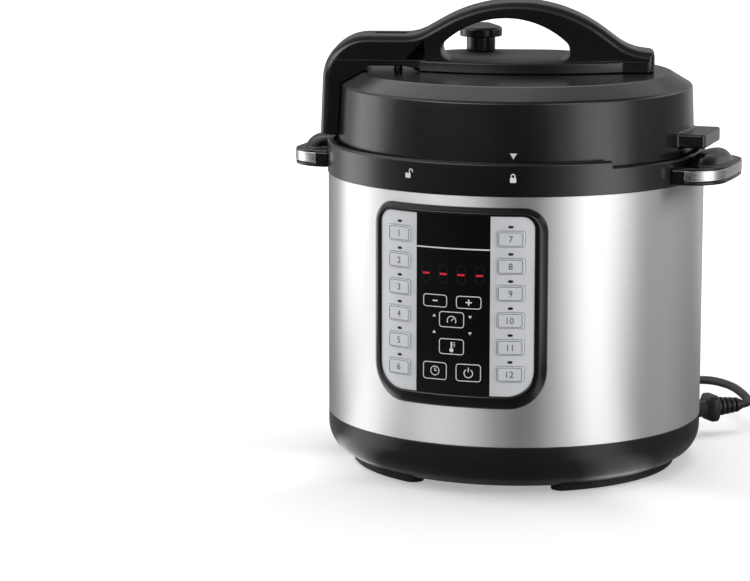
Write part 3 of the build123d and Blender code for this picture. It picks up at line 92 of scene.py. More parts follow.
PROGRAM_KEYS = ["key_" + side + str(row) for side in "lr" for row in range(1, 7)]


def linear(code):
    """Linear colour of an sRGB hex value."""
    shares = [int(code[i : i + 2], 16) / 255 for i in (1, 3, 5)]
    bent = [s / 12.92 if s <= 0.04045 else ((s + 0.055) / 1.055) ** 2.4 for s in shares]
    return (*bent, 1.0)


def colour(name, description, code):
    """One colour that a user may change."""
    return bpy.props.FloatVectorProperty(
        name=name, description=description, subtype="COLOR", size=4, min=0, max=1, default=linear(code)
    )


def length(name, description, millimetres):
    """One size that a user may change."""
    return bpy.props.FloatProperty(
        name=name, description=description, default=millimetres * MM, unit="LENGTH", precision=5
    )


class CookerColours(bpy.types.PropertyGroup):
    """Colours of the materials."""

    black: colour("Black plastic", "Lid, collar, base and handles", "#101010")
    gloss_black: colour("Gloss black", "Frame of the control panel", "#0b0b0c")
    steel: colour("Steel", "Brushed wall of the housing", "#e6e6e6")
    silver: colour("Silver lacquer", "Key strips and program keys", "#dddfe2")
    window: colour("Panel window", "Dark middle of the control panel", "#08090a")
    panel_print: colour("Panel print", "White marks on the dark parts", "#eeeeee")
    # Key print is also the colour of the painted shade line inside the edge of each program key
    key_print: colour("Key print", "Grey marks on the program keys", "#4c4f53")
    lit: colour("Display lit", "Lit bars of the display", "#e0163a")
    unlit: colour("Display unlit", "Bars of the display that are off", "#17171a")
    coating: colour("Pot coating", "Non-stick inside of the cooking pot", "#2b2c2e")
    lead: colour("Mains lead", "Sheath of the lead, connector and plug", "#1d1d1c")
    silicone: colour("Silicone", "Sealing ring of the lid", "#d9dad6")


class CookerSizes(bpy.types.PropertyGroup):
    """Sizes of what the looks add to the frame."""

    lead: length("Lead diameter", "Thickness of the mains lead", 6.5)
    print_lift: length("Print lift", "How far printed marks stand off their surface", 0.07)
    digit: length("Digit height", "Height of a digit of the display", 13.2)
    digit_pitch: length("Digit pitch", "Distance from digit to digit", 12.9)
    digit_bar: length("Digit bar", "Thickness of a bar of a digit", 1.35)
    numeral: length("Key numeral", "Height of a number on a program key", 4.4)
    outline: length("Outline width", "Width of the line round a touch key", 0.55)
    lamp: length("Lamp width", "Width of the lamp over a program key", 3.5)
    brush: length("Brush spacing", "Spacing of the brush lines, drawn coarse enough to show", 0.9)
    grain: length("Moulded grain", "Grain of the black plastic, drawn coarse enough to show", 1.1)


class CookerStudio(bpy.types.PropertyGroup):
    """Light of the studio."""

    ambient: bpy.props.FloatProperty(
        name="Ambient", description="Light from all round on matt surfaces", default=0.55, min=0
    )
    left_lamp: bpy.props.FloatProperty(
        name="Left lamp", description="Soft box on the left", default=14.0, subtype="POWER", min=0
    )
    right_lamp: bpy.props.FloatProperty(
        name="Right lamp", description="Soft box on the right", default=9.0, subtype="POWER", min=0
    )
    top_lamp: bpy.props.FloatProperty(
        name="Top lamp", description="Soft box overhead", default=14.0, subtype="POWER", min=0
    )


def colours():
    """Colours as the user has set them."""
    return bpy.context.scene.cooker_colours


def sizes():
    """Sizes as the user has set them."""
    return bpy.context.scene.cooker_sizes


# Nodes and materials

# Middle of a noise's range, which a drifting number and a drifting colour are spread over
NUMBER_SPREAD = (0.3, 0.7)
COLOUR_SPREAD = (0.35, 0.65)


def add(tree, kind, inputs=None, **settings):
    """Add a node: settings are its properties, inputs its sockets as values or as sockets to link."""
    node = tree.nodes.new(kind)
    for key, value in settings.items():
        setattr(node, key, value)
    for key, value in (inputs or {}).items():
        if isinstance(value, bpy.types.NodeSocket):
            tree.links.new(value, node.inputs[key])
        else:
            node.inputs[key].default_value = value
    return node


def calc(tree, operation, *values):
    """Output of a node that reckons with numbers."""
    return add(tree, "ShaderNodeMath", dict(enumerate(values)), operation=operation).outputs[0]


def new_finish(name, **sockets):
    """Start a material whose constants sit on the shader's own sockets."""
    material = bpy.data.materials.new(name)
    material.use_nodes = True
    tree = material.node_tree
    tree.nodes.clear()
    shader = add(tree, "ShaderNodeBsdfPrincipled", {k.replace("_", " "): v for k, v in sockets.items()})
    add(tree, "ShaderNodeOutputMaterial", {"Surface": shader.outputs["BSDF"]})
    coords = add(tree, "ShaderNodeTexCoord").outputs["Object"]
    return material, tree, shader, coords


def wander(tree, socket, coords, size, low, high, detail=3.0):
    """Let a socket drift between two values in patches of that size."""
    noise = add(tree, "ShaderNodeTexNoise", {"Vector": coords, "Scale": 1 / size, "Detail": detail})
    limits = {"From Min": NUMBER_SPREAD[0], "From Max": NUMBER_SPREAD[1], "To Min": low, "To Max": high}
    spread = add(tree, "ShaderNodeMapRange", {"Value": noise.outputs["Fac"], **limits})
    tree.links.new(spread.outputs["Result"], socket)


def colour_ramp(tree, share, *stops):
    """Colour that runs with a share from one stop to the next, each given as (position, colour)."""
    ramp = add(tree, "ShaderNodeValToRGB", {"Fac": share})
    for i, (position, shown) in enumerate(stops):
        ramp.color_ramp.elements[i].position = position
        ramp.color_ramp.elements[i].color = shown
    return ramp.outputs["Color"]


def tint(tree, socket, coords, size, dark, light):
    """Let a colour drift between two shades in patches of that size."""
    noise = add(tree, "ShaderNodeTexNoise", {"Vector": coords, "Scale": 1 / size, "Detail": 4.0})
    drift = colour_ramp(tree, noise.outputs["Fac"], (COLOUR_SPREAD[0], dark), (COLOUR_SPREAD[1], light))
    tree.links.new(drift, socket)


def emboss(tree, shader, height, depth):
    """Let a pattern stand out from the surface by that depth."""
    bump = add(tree, "ShaderNodeBump", {"Height": height, "Distance": depth})
    tree.links.new(bump.outputs["Normal"], shader.inputs["Normal"])


def roughen(tree, shader, coords, size, depth):
    """Fine bumps of that size and depth."""
    noise = add(tree, "ShaderNodeTexNoise", {"Vector": coords, "Scale": 1 / size, "Detail": 2.0})
    emboss(tree, shader, noise.outputs["Fac"], depth)


def shade(base, factor):
    """A darker or lighter shade of a colour."""
    return (*(min(1.0, c * factor) for c in tuple(base)[:3]), 1.0)


def shades(base, dark, light):
    """Two shades of a colour."""
    return shade(base, dark), shade(base, light)


def plain_finish(name, tints, polish, bumps=None, **sockets):
    """A material of two shades in patches, an uneven roughness in patches and perhaps bumps.

    Each is given as the size of its patches and then its two values, bumps as size and depth.
    """
    material, tree, shader, coords = new_finish(name, **sockets)
    tint(tree, shader.inputs["Base Color"], coords, *tints)
    wander(tree, shader.inputs["Roughness"], coords, *polish)
    if bumps:
        roughen(tree, shader, coords, *bumps)
    return material


def moulded_abs():
    """ABS from a spark-eroded mould: a soft sheen broken by a fine grain."""
    tints = (60 * MM, *shades(colours().black, 0.85, 1.2))
    polish = (35 * MM, 0.19, 0.24)
    bumps = (sizes().grain, 0.02 * MM)
    return plain_finish("moulded_abs", tints, polish, bumps, IOR=1.54, Specular_IOR_Level=0.5)


# Height of the lid handle's shelf, and how far from it a point still counts as lying on it
SHELF_Z = 290.4 * MM
SHELF_SLACK = 0.3 * MM


def handle_abs():
    """The same ABS on the lid's grip: satin on the shelf under it, smooth where a hand holds it."""
    material, tree, shader, coords = new_finish("handle_abs", IOR=1.54, Specular_IOR_Level=0.5)
    tint(tree, shader.inputs["Base Color"], coords, 60 * MM, *shades(colours().black, 0.85, 1.2))
    height = add(tree, "ShaderNodeSeparateXYZ", {"Vector": coords}).outputs["Z"]
    shelf = calc(tree, "COMPARE", height, SHELF_Z, SHELF_SLACK)
    satin = add(tree, "ShaderNodeMapRange", {"Value": shelf, "To Min": 0.21, "To Max": 0.5})
    tree.links.new(satin.outputs["Result"], shader.inputs["Roughness"])
    roughen(tree, shader, coords, sizes().grain, 0.02 * MM)
    return material


def gloss_abs():
    """ABS from a polished mould: clear reflections with a slight waviness."""
    tints = (50 * MM, *shades(colours().gloss_black, 0.9, 1.15))
    polish = (30 * MM, 0.16, 0.22)
    bumps = (9 * MM, 0.01 * MM)
    return plain_finish("gloss_abs", tints, polish, bumps, IOR=1.54, Specular_IOR_Level=0.4)


def brushed_steel():
    """Stainless sheet brushed round the body: bright upright bands, broken by fine level lines."""
    material, tree, shader, _ = new_finish(
        "brushed_steel", Metallic=1.0, Anisotropic=0.9, Anisotropic_Rotation=0.25
    )
    tangent = add(tree, "ShaderNodeTangent", direction_type="UV_MAP", uv_map="round")
    tree.links.new(tangent.outputs["Tangent"], shader.inputs["Tangent"])
    around = add(tree, "ShaderNodeUVMap", uv_map="round").outputs["UV"]
    stretch = (1 / (90 * MM), 1 / sizes().brush, 1)
    lines = add(tree, "ShaderNodeMapping", {"Vector": around, "Scale": stretch}).outputs["Vector"]
    tint(tree, shader.inputs["Base Color"], lines, 1.0, *shades(colours().steel, 0.98, 1.015))
    wander(tree, shader.inputs["Roughness"], lines, 1.0, 0.4, 0.42, 2.0)
    roughen(tree, shader, lines, 1.0, 0.0003 * MM)
    return material


def bright_trim():
    """Plated strip with a light brushing: like polished steel, a little soft."""
    material, tree, shader, coords = new_finish("bright_trim", Metallic=1.0)
    across = add(tree, "ShaderNodeMapping", {"Vector": coords, "Scale": (1, 1, 24)}).outputs["Vector"]
    tint(tree, shader.inputs["Base Color"], across, 12 * MM, linear("#b9babc"), linear("#d6d7d8"))
    wander(tree, shader.inputs["Roughness"], across, 12 * MM, 0.2, 0.3)
    return material


def silver_lacquer():
    """Silver lacquer on moulded keys: pale grey with fine bright flakes."""
    tints = (0.9 * MM, *shades(colours().silver, 0.97, 1.03))
    return plain_finish("silver_lacquer", tints, (20 * MM, 0.42, 0.5), Metallic=0.25, IOR=1.5)


def smoked_acrylic(name, base, patch):
    """Dark acrylic with a clear surface."""
    tints = (patch, *shades(base, 0.9, 1.1))
    return plain_finish(name, tints, (25 * MM, 0.1, 0.15), IOR=1.49, Specular_IOR_Level=0.5)


def gloss_acrylic():
    """Smoked acrylic window: deep black with a clear surface."""
    return smoked_acrylic("gloss_acrylic", colours().window, 40 * MM)


def unlit_bar():
    """Bar of the display that is off: barely paler than the window over it."""
    return smoked_acrylic("unlit_bar", colours().unlit, 1.5 * MM)


def lit_bar():
    """Lit bar of the display: red light through a diffuser, a little uneven."""
    lit = colours().lit
    material, tree, shader, coords = new_finish(
        "lit_bar", Base_Color=shade(lit, 0.4), Emission_Strength=0.55, Roughness=0.4
    )
    tint(tree, shader.inputs["Emission Color"], coords, 1.5 * MM, *shades(lit, 0.85, 1.1))
    return material


def screen_ink(name, base):
    """Screen-printed ink: matt, a touch uneven where the mesh lay."""
    tints = (0.9 * MM, *shades(base, 0.93, 1.0))
    return plain_finish(name, tints, (2 * MM, 0.5, 0.6), IOR=1.5, Specular_IOR_Level=0.3)


def white_ink():
    """White print on dark plastic and on the coating of the pot."""
    return screen_ink("white_ink", colours().panel_print)


def grey_ink():
    """Dark grey print on the silver keys and the clear cup, and the painted shade line inside the edge of
    each program key.
    """
    return screen_ink("grey_ink", colours().key_print)


def dark_lens():
    """Smoked lens of an unlit lamp: a small black dash on the silver."""
    return screen_ink("dark_lens", linear("#08080a"))


def nonstick_pot():
    """Aluminium pot: satin outside, speckled non-stick coating inside and on the rim."""
    coating = colours().coating
    material, tree, shader, coords = new_finish("nonstick_pot", IOR=1.45)
    normal = add(tree, "ShaderNodeNewGeometry").outputs["Normal"]
    level = add(tree, "ShaderNodeVectorMath", {0: coords, 1: (1, 1, 0)}, operation="MULTIPLY")
    outwards = add(tree, "ShaderNodeVectorMath", {0: level.outputs["Vector"]}, operation="NORMALIZE")
    faces_out = add(
        tree, "ShaderNodeVectorMath", {0: outwards.outputs["Vector"], 1: normal}, operation="DOT_PRODUCT"
    )
    upright = add(tree, "ShaderNodeSeparateXYZ", {"Vector": normal}).outputs["Z"]
    inward = calc(tree, "SUBTRACT", upright, faces_out.outputs["Value"])
    inside = calc(tree, "GREATER_THAN", inward, 0.0)
    speckle = add(tree, "ShaderNodeTexVoronoi", {"Vector": coords, "Scale": 1 / (3.5 * MM)})
    fleck, ground = (0.08, shade(coating, 2.2)), (0.16, tuple(coating))
    flecks = colour_ramp(tree, speckle.outputs["Distance"], fleck, ground)
    grain = add(tree, "ShaderNodeMapping", {"Vector": coords, "Scale": (60, 60, 2500)}).outputs["Vector"]
    satin = add(tree, "ShaderNodeTexNoise", {"Vector": grain, "Scale": 1.0, "Detail": 3.0})
    metal = colour_ramp(tree, satin.outputs["Fac"], (0.0, linear("#b4b5b7")), (1.0, linear("#d2d3d4")))
    mix = add(tree, "ShaderNodeMixRGB", {"Fac": inside, "Color1": metal, "Color2": flecks})
    tree.links.new(mix.outputs["Color"], shader.inputs["Base Color"])
    tree.links.new(calc(tree, "SUBTRACT", 1.0, inside), shader.inputs["Metallic"])
    wander(tree, shader.inputs["Roughness"], coords, 25 * MM, 0.34, 0.42)
    return material


def sheet_metal(name, dark, light, low, high, depth=0.006):
    """Bare metal with drawing marks and uneven polish."""
    tints = (18 * MM, linear(dark), linear(light))
    return plain_finish(name, tints, (14 * MM, low, high), (2.5 * MM, depth * MM), Metallic=1.0)


def stainless():
    """Polished stainless sheet: bright, with soft reflections."""
    return sheet_metal("stainless_sheet", "#bfc0c1", "#d8d9d9", 0.16, 0.26)


def pressed_aluminium():
    """Deep-drawn aluminium: dull and pale, with marks of the press."""
    return sheet_metal("pressed_aluminium", "#b3b4b5", "#cdcecf", 0.3, 0.42, 0.02)


def zinc_steel():
    """Zinc-plated steel of screws and spring: grey with a faint yellow cast."""
    return sheet_metal("zinc_plated_steel", "#9a9b98", "#bcbdb9", 0.25, 0.38)


def plated_brass():
    """Nickel-plated brass of pins and blades: bright and warm."""
    return sheet_metal("nickel_plated_brass", "#c4bfae", "#dad6c6", 0.14, 0.24)


def cast_aluminium():
    """Die-cast plate turned on a lathe: fine rings about its middle."""
    material, tree, shader, coords = new_finish("cast_aluminium", Metallic=1.0)
    rings = add(
        tree,
        "ShaderNodeTexWave",
        {"Vector": coords, "Scale": 1 / (20 * 1.6 * MM), "Distortion": 0.4},
        wave_type="RINGS",
        rings_direction="Z",
    )
    emboss(tree, shader, rings.outputs["Fac"], 0.05 * MM)
    tint(tree, shader.inputs["Base Color"], coords, 9 * MM, linear("#9c9d9f"), linear("#b9babc"))
    wander(tree, shader.inputs["Roughness"], coords, 12 * MM, 0.32, 0.45)
    return material


def silicone():
    """Moulded silicone: milky, lets light in a little way."""
    tints = (20 * MM, *shades(colours().silicone, 0.95, 1.02))
    depth = {"Subsurface_Weight": 0.35, "Subsurface_Scale": 0.004}
    polish = (10 * MM, 0.42, 0.55)
    return plain_finish("silicone", tints, polish, IOR=1.41, Specular_IOR_Level=0.4, **depth)


def clear_plastic():
    """Clear moulded plastic, faintly grey, with flow marks."""
    tints = (15 * MM, linear("#e4e6e8"), linear("#f4f5f6"))
    polish = (8 * MM, 0.05, 0.12)
    return plain_finish("clear_polycarbonate", tints, polish, IOR=1.58, Transmission_Weight=0.92)


def pvc_sheath():
    """Flexible PVC of the mains lead: dark with a dull sheen."""
    tints = (12 * MM, *shades(colours().lead, 0.85, 1.2))
    polish = (8 * MM, 0.4, 0.5)
    bumps = (1.0 * MM, 0.02 * MM)
    return plain_finish("pvc_sheath", tints, polish, bumps, IOR=1.53, Specular_IOR_Level=0.5)


def foot_rubber():
    """Soft rubber of the feet: matt, with a fine texture."""
    tints = (9 * MM, linear("#0d0d0d"), linear("#171717"))
    polish = (6 * MM, 0.6, 0.75)
    bumps = (0.9 * MM, 0.04 * MM)
    return plain_finish("foot_rubber", tints, polish, bumps, IOR=1.5, Specular_IOR_Level=0.3)


def circuit_board():
    """Green solder mask with copper shapes under it."""
    tints = (6 * MM, linear("#123d26"), linear("#1f5a38"))
    return plain_finish("circuit_board", tints, (9 * MM, 0.3, 0.45), IOR=1.55)


def woven_tie():
    """Hook-and-loop tie: dull black weave."""
    material, tree, shader, coords = new_finish("woven_tie", IOR=1.5, Specular_IOR_Level=0.2)
    threads = {"Color1": linear("#151516"), "Color2": linear("#2a2a2b")}
    weave = add(tree, "ShaderNodeTexChecker", {"Vector": coords, "Scale": 1 / (1.2 * MM), **threads})
    tree.links.new(weave.outputs["Color"], shader.inputs["Base Color"])
    emboss(tree, shader, weave.outputs["Fac"], 0.1 * MM)
    wander(tree, shader.inputs["Roughness"], coords, 3 * MM, 0.7, 0.85)
    return material


FINISHES = {}


def finish(maker):
    """The material that a maker function gives, made once."""
    if maker not in FINISHES:
        FINISHES[maker] = maker()
    return FINISHES[maker]


# Pieces

# The record's material slot of each node
SLOTS = {row["node"]: row["material_slot"] for row in frame["record"]["subparts"]}
# Points this close are one, and faces that meet at no more than this angle are flat
SAME_SPOT = 0.001 * MM
FLAT_ANGLE = math.radians(0.3)
# How far behind its front a point of a key still counts as part of it
FACE_SLACK = 0.01 * MM


def body_of(node):
    """The body that a node moves with."""
    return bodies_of(NODES[node])[0]


def in_scene(name, data):
    """A new object in the scene."""
    holder = bpy.data.objects.new(name, data)
    bpy.context.scene.collection.objects.link(holder)
    return holder


def new_piece(name, mesh, maker, body, slot):
    """Put a finished mesh in the scene as a piece that moves with a body."""
    mesh.materials.clear()
    mesh.materials.append(finish(maker))
    piece = in_scene(name, mesh)
    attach(piece, body)
    return piece


def dress(maker, *nodes):
    """Give CAD nodes whose shape is right their material."""
    for node in nodes:
        for holder in NODES[node].material_slots:
            holder.material = finish(maker)


def settled(piece):
    """The plain mesh that a piece's modifiers make."""
    graph = bpy.context.evaluated_depsgraph_get()
    mesh = bpy.data.meshes.new_from_object(
        piece.evaluated_get(graph), preserve_all_data_layers=True, depsgraph=graph
    )
    bpy.data.objects.remove(piece)
    return mesh


def meshed(name, form):
    """The mesh of a form that is done."""
    mesh = bpy.data.meshes.new(name)
    form.to_mesh(mesh)
    form.free()
    return mesh


def lofted(name, rows, closed=False, sharp=None):
    """Smooth skin through rows of points, its ends filled or, when closed, joined to each other."""
    form = bmesh.new()
    rows = [[form.verts.new(spot) for spot in row] for row in rows]
    following = rows[1:] + rows[:1] if closed else rows[1:]
    for one, two in zip(rows, following):
        for i in range(len(one)):
            j = (i + 1) % len(one)
            form.faces.new((one[i], one[j], two[j], two[i]))
    if not closed:
        form.faces.new(rows[0])
        form.faces.new(rows[-1])
    bmesh.ops.recalc_face_normals(form, faces=form.faces)
    mesh = meshed(name, form)
    mesh.shade_smooth()
    if sharp:
        mesh.set_sharp_from_angle(angle=math.radians(sharp))
    return mesh


def merged_copy(node):
    """A copy of a node's mesh with its loose triangles joined and flat faces whole again."""
    form = bmesh.new()
    form.from_mesh(NODES[node].data)
    bmesh.ops.remove_doubles(form, verts=form.verts, dist=SAME_SPOT)
    bmesh.ops.dissolve_limit(
        form,
        angle_limit=FLAT_ANGLE,
        use_dissolve_boundaries=False,
        verts=form.verts,
        edges=form.edges,
    )
    mesh = meshed(node + "_rounded", form)
    for stale in ("custom_normal", "sharp_edge", "sharp_face"):
        if stale in mesh.attributes:
            mesh.attributes.remove(mesh.attributes[stale])
    mesh.shade_smooth()
    return mesh


def rounded(node, maker, radius, segments=3, least_angle=22.0):
    """Stand for a node with a copy whose sharp edges are rounded as a mould leaves them."""
    piece = in_scene(node + "_rounded", merged_copy(node))
    bevel = piece.modifiers.new("edges", "BEVEL")
    bevel.width = radius * MM
    bevel.segments = segments
    bevel.limit_method = "ANGLE"
    bevel.angle_limit = math.radians(least_angle)
    bevel.use_clamp_overlap = False
    bevel.miter_outer = "MITER_ARC"
    weights = piece.modifiers.new("normals", "WEIGHTED_NORMAL")
    weights.keep_sharp = True
    made = new_piece(node + "_rounded", settled(piece), maker, body_of(node), SLOTS[node])
    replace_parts(made, node)
    return made


def wrap_round(mesh):
    """UV map in metres: round the axis and up."""
    layer = mesh.uv_layers.new(name="round")
    for face in mesh.polygons:
        turns = []
        for corner in face.loop_indices:
            spot = mesh.vertices[mesh.loops[corner].vertex_index].co
            turns.append(math.atan2(spot.x, -spot.y))
        if max(turns) - min(turns) > math.pi:
            turns = [t + math.tau if t < 0 else t for t in turns]
        for corner, turn in zip(face.loop_indices, turns):
            spot = mesh.vertices[mesh.loops[corner].vertex_index].co
            layer.data[corner].uv = (turn * math.hypot(spot.x, spot.y), spot.z)


# Printed marks: drawn flat in metres, x to the right, y up and z out, then laid on a surface


def on_wall(radius, angle, height):
    """Lay a drawing round the upright wall of that radius, its middle at an angle from the front."""

    def lay(spot):
        turn = math.radians(angle) + spot.x / radius
        reach = radius + spot.z
        return Vector((reach * math.sin(turn), -reach * math.cos(turn), height + spot.y))

    return lay


def inside_wall(radius, angle, height):
    """Lay a drawing on the inner face of a round wall, to be read from inside."""

    def lay(spot):
        turn = math.radians(angle) - spot.x / radius
        reach = radius - spot.z
        return Vector((reach * math.sin(turn), -reach * math.cos(turn), height + spot.y))

    return lay


def on_slope(foot, shoulder, angle, height):
    """Lay a drawing on a wall that narrows from its foot to its shoulder, each as (height, radius)."""
    fall = (shoulder[1] - foot[1]) / (shoulder[0] - foot[0])

    def lay(spot):
        radius = foot[1] + fall * (height + spot.y - foot[0])
        return on_wall(radius, angle, height)(spot)

    return lay


def key_front(node):
    """Middle of a key, the ways out of its front and along it, and how far out the front lies."""
    low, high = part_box(node)
    middle = (low + high) / 2
    outward = Vector((middle.x, middle.y, 0)).normalized()
    along = Vector((-outward.y, outward.x, 0))
    reach = max(v.co.dot(outward) for v in NODES[node].data.vertices)
    return middle, outward, along, reach


def on_key(node):
    """Lay a drawing flat on the front of a key."""
    middle, outward, along, reach = key_front(node)
    height = middle.z

    def lay(spot):
        return outward * (reach + spot.z) + along * spot.x + Vector((0, 0, height + spot.y))

    return lay


def face_size(node):
    """Width and height of the front of a key."""
    middle, outward, along, reach = key_front(node)
    spots = [v.co for v in NODES[node].data.vertices]
    face = [c - middle for c in spots if c.dot(outward) > reach - FACE_SLACK]
    return 2 * max(abs(c.dot(along)) for c in face), 2 * max(abs(c.z) for c in face)


def printed(name, drawing, lay, maker, body, slot, lift=None, depth=None):
    """Turn a flat drawing into a thin closed mark on its surface, or a plate let into it."""
    lift = sizes().print_lift if lift is None else lift
    depth = lift if depth is None else depth
    raised = bmesh.ops.extrude_face_region(drawing, geom=drawing.faces[:], use_keep_orig=True)
    fresh = {item for item in raised["geom"] if isinstance(item, bmesh.types.BMVert)}
    for vert in drawing.verts:
        vert.co = lay(Vector((vert.co.x, vert.co.y, lift if vert in fresh else -depth)))
    bmesh.ops.recalc_face_normals(drawing, faces=drawing.faces)
    return new_piece(name, meshed(name, drawing), maker, body, slot)


def draw_outline(drawing, spots):
    """A filled outline."""
    drawing.faces.new([drawing.verts.new((x, y, 0)) for x, y in spots])


def draw_ring(drawing, outer, inner):
    """A band between two outlines with as many points."""
    rims = [[drawing.verts.new((x, y, 0)) for x, y in spots] for spots in (outer, inner)]
    for i in range(len(outer)):
        j = (i + 1) % len(outer)
        drawing.faces.new((rims[0][i], rims[0][j], rims[1][j], rims[1][i]))


def draw_line(drawing, spots, width):
    """A line of even width through some points."""
    sides = []
    for i, spot in enumerate(spots):
        before = Vector(spots[max(i - 1, 0)])
        after = Vector(spots[min(i + 1, len(spots) - 1)])
        heading = (after - before).normalized()
        aside = Vector((-heading.y, heading.x)) * width / 2
        pair = (Vector(spot) + aside, Vector(spot) - aside)
        sides.append([drawing.verts.new((p.x, p.y, 0)) for p in pair])
    for one, two in zip(sides, sides[1:]):
        drawing.faces.new((one[0], one[1], two[1], two[0]))


def arc(x, y, radius, start, end, steps=16):
    """Points on an arc, in degrees from the right and against the clock."""
    turns = [math.radians(start + (end - start) * i / steps) for i in range(steps + 1)]
    return [(x + radius * math.cos(t), y + radius * math.sin(t)) for t in turns]


def rounded_box(width, height, radius, steps=5):
    """Outline of a rectangle with round corners about its middle."""
    spots = []
    for quarter, (right, up) in enumerate(((1, 1), (-1, 1), (-1, -1), (1, -1))):
        x, y = right * (width / 2 - radius), up * (height / 2 - radius)
        spots += arc(x, y, radius, 90 * quarter, 90 * quarter + 90, steps)
    return spots


def drawing_of(mesh):
    """A drawing made from a flat mesh, which is then given up."""
    drawing = bmesh.new()
    drawing.from_mesh(mesh)
    bpy.data.meshes.remove(mesh)
    return drawing


def numeral(text, height):
    """Filled flat number of that height about its middle."""
    letters = bpy.data.curves.new("numeral", "FONT")
    letters.body = text
    letters.resolution_u = 4
    drawing = drawing_of(settled(in_scene("numeral", letters)))
    bpy.data.curves.remove(letters)
    bmesh.ops.remove_doubles(drawing, verts=drawing.verts, dist=0.001)
    xs = [v.co.x for v in drawing.verts]
    ys = [v.co.y for v in drawing.verts]
    scale = height / (max(ys) - min(ys))
    for vert in drawing.verts:
        vert.co.x = (vert.co.x - (max(xs) + min(xs)) / 2) * scale
        vert.co.y = (vert.co.y - (max(ys) + min(ys)) / 2) * scale
        vert.co.z = 0
    return drawing


# Geometry trees for what repeats


def new_tree(name, inputs):
    """Start a geometry tree with named inputs, as (name, kind of socket)."""
    tree = bpy.data.node_groups.new(name, "GeometryNodeTree")
    for label, kind in inputs:
        tree.interface.new_socket(label, in_out="INPUT", socket_type="NodeSocket" + kind)
    tree.interface.new_socket("Geometry", in_out="OUTPUT", socket_type="NodeSocketGeometry")
    return tree, add(tree, "NodeGroupInput").outputs


def close_tree(tree, geometry, material):
    """End a tree with real geometry in its material."""
    real = add(tree, "GeometryNodeRealizeInstances", {"Geometry": geometry})
    coated = add(tree, "GeometryNodeSetMaterial", {"Geometry": real.outputs[0], "Material": material})
    add(tree, "NodeGroupOutput", {"Geometry": coated.outputs["Geometry"]})
    return tree


def grown(tree, **values):
    """The plain mesh that a tree makes from values for its inputs."""
    holder = in_scene(tree.name, bpy.data.meshes.new(tree.name))
    modifier = holder.modifiers.new(tree.name, "NODES")
    modifier.node_group = tree
    for item in tree.interface.items_tree:
        if item.in_out == "INPUT":
            modifier[item.identifier] = values[item.name.lower().replace(" ", "_")]
    return settled(holder)


def times(tree, socket, factor):
    """A socket's value times a number."""
    return calc(tree, "MULTIPLY", socket, factor)


def vector(tree, parts):
    """A vector from some of its parts."""
    return add(tree, "ShaderNodeCombineXYZ", parts).outputs["Vector"]


def placed(tree, geometry, offset, turn=(0, 0, 0)):
    """Geometry turned and then moved by an offset."""
    inputs = {"Geometry": geometry, "Translation": offset, "Rotation": turn}
    return add(tree, "GeometryNodeTransform", inputs).outputs["Geometry"]


SCREW_HEAD = 3.3
SCREW_HEAD_HEIGHT = 1.4
SCREW_SHANK = 1.5
SCREW_COUNT = 4
SCREW_SEED = 7
# Shares of the head's height: its straight wall, and the crown above it as (rise, narrowing)
HEAD_WALL = 0.6
HEAD_CROWN = ((0.25, 0.84), (0.15, 0.72))
# Cross recess: length and width in shares of the head's radius, level and depth in shares of its height
SLOT_LENGTH = 1.1
SLOT_WIDTH = 0.24
SLOT_LEVEL = 0.7
SLOT_CUTS = (("X", "Y", 0.9), ("Y", "X", 0.94))


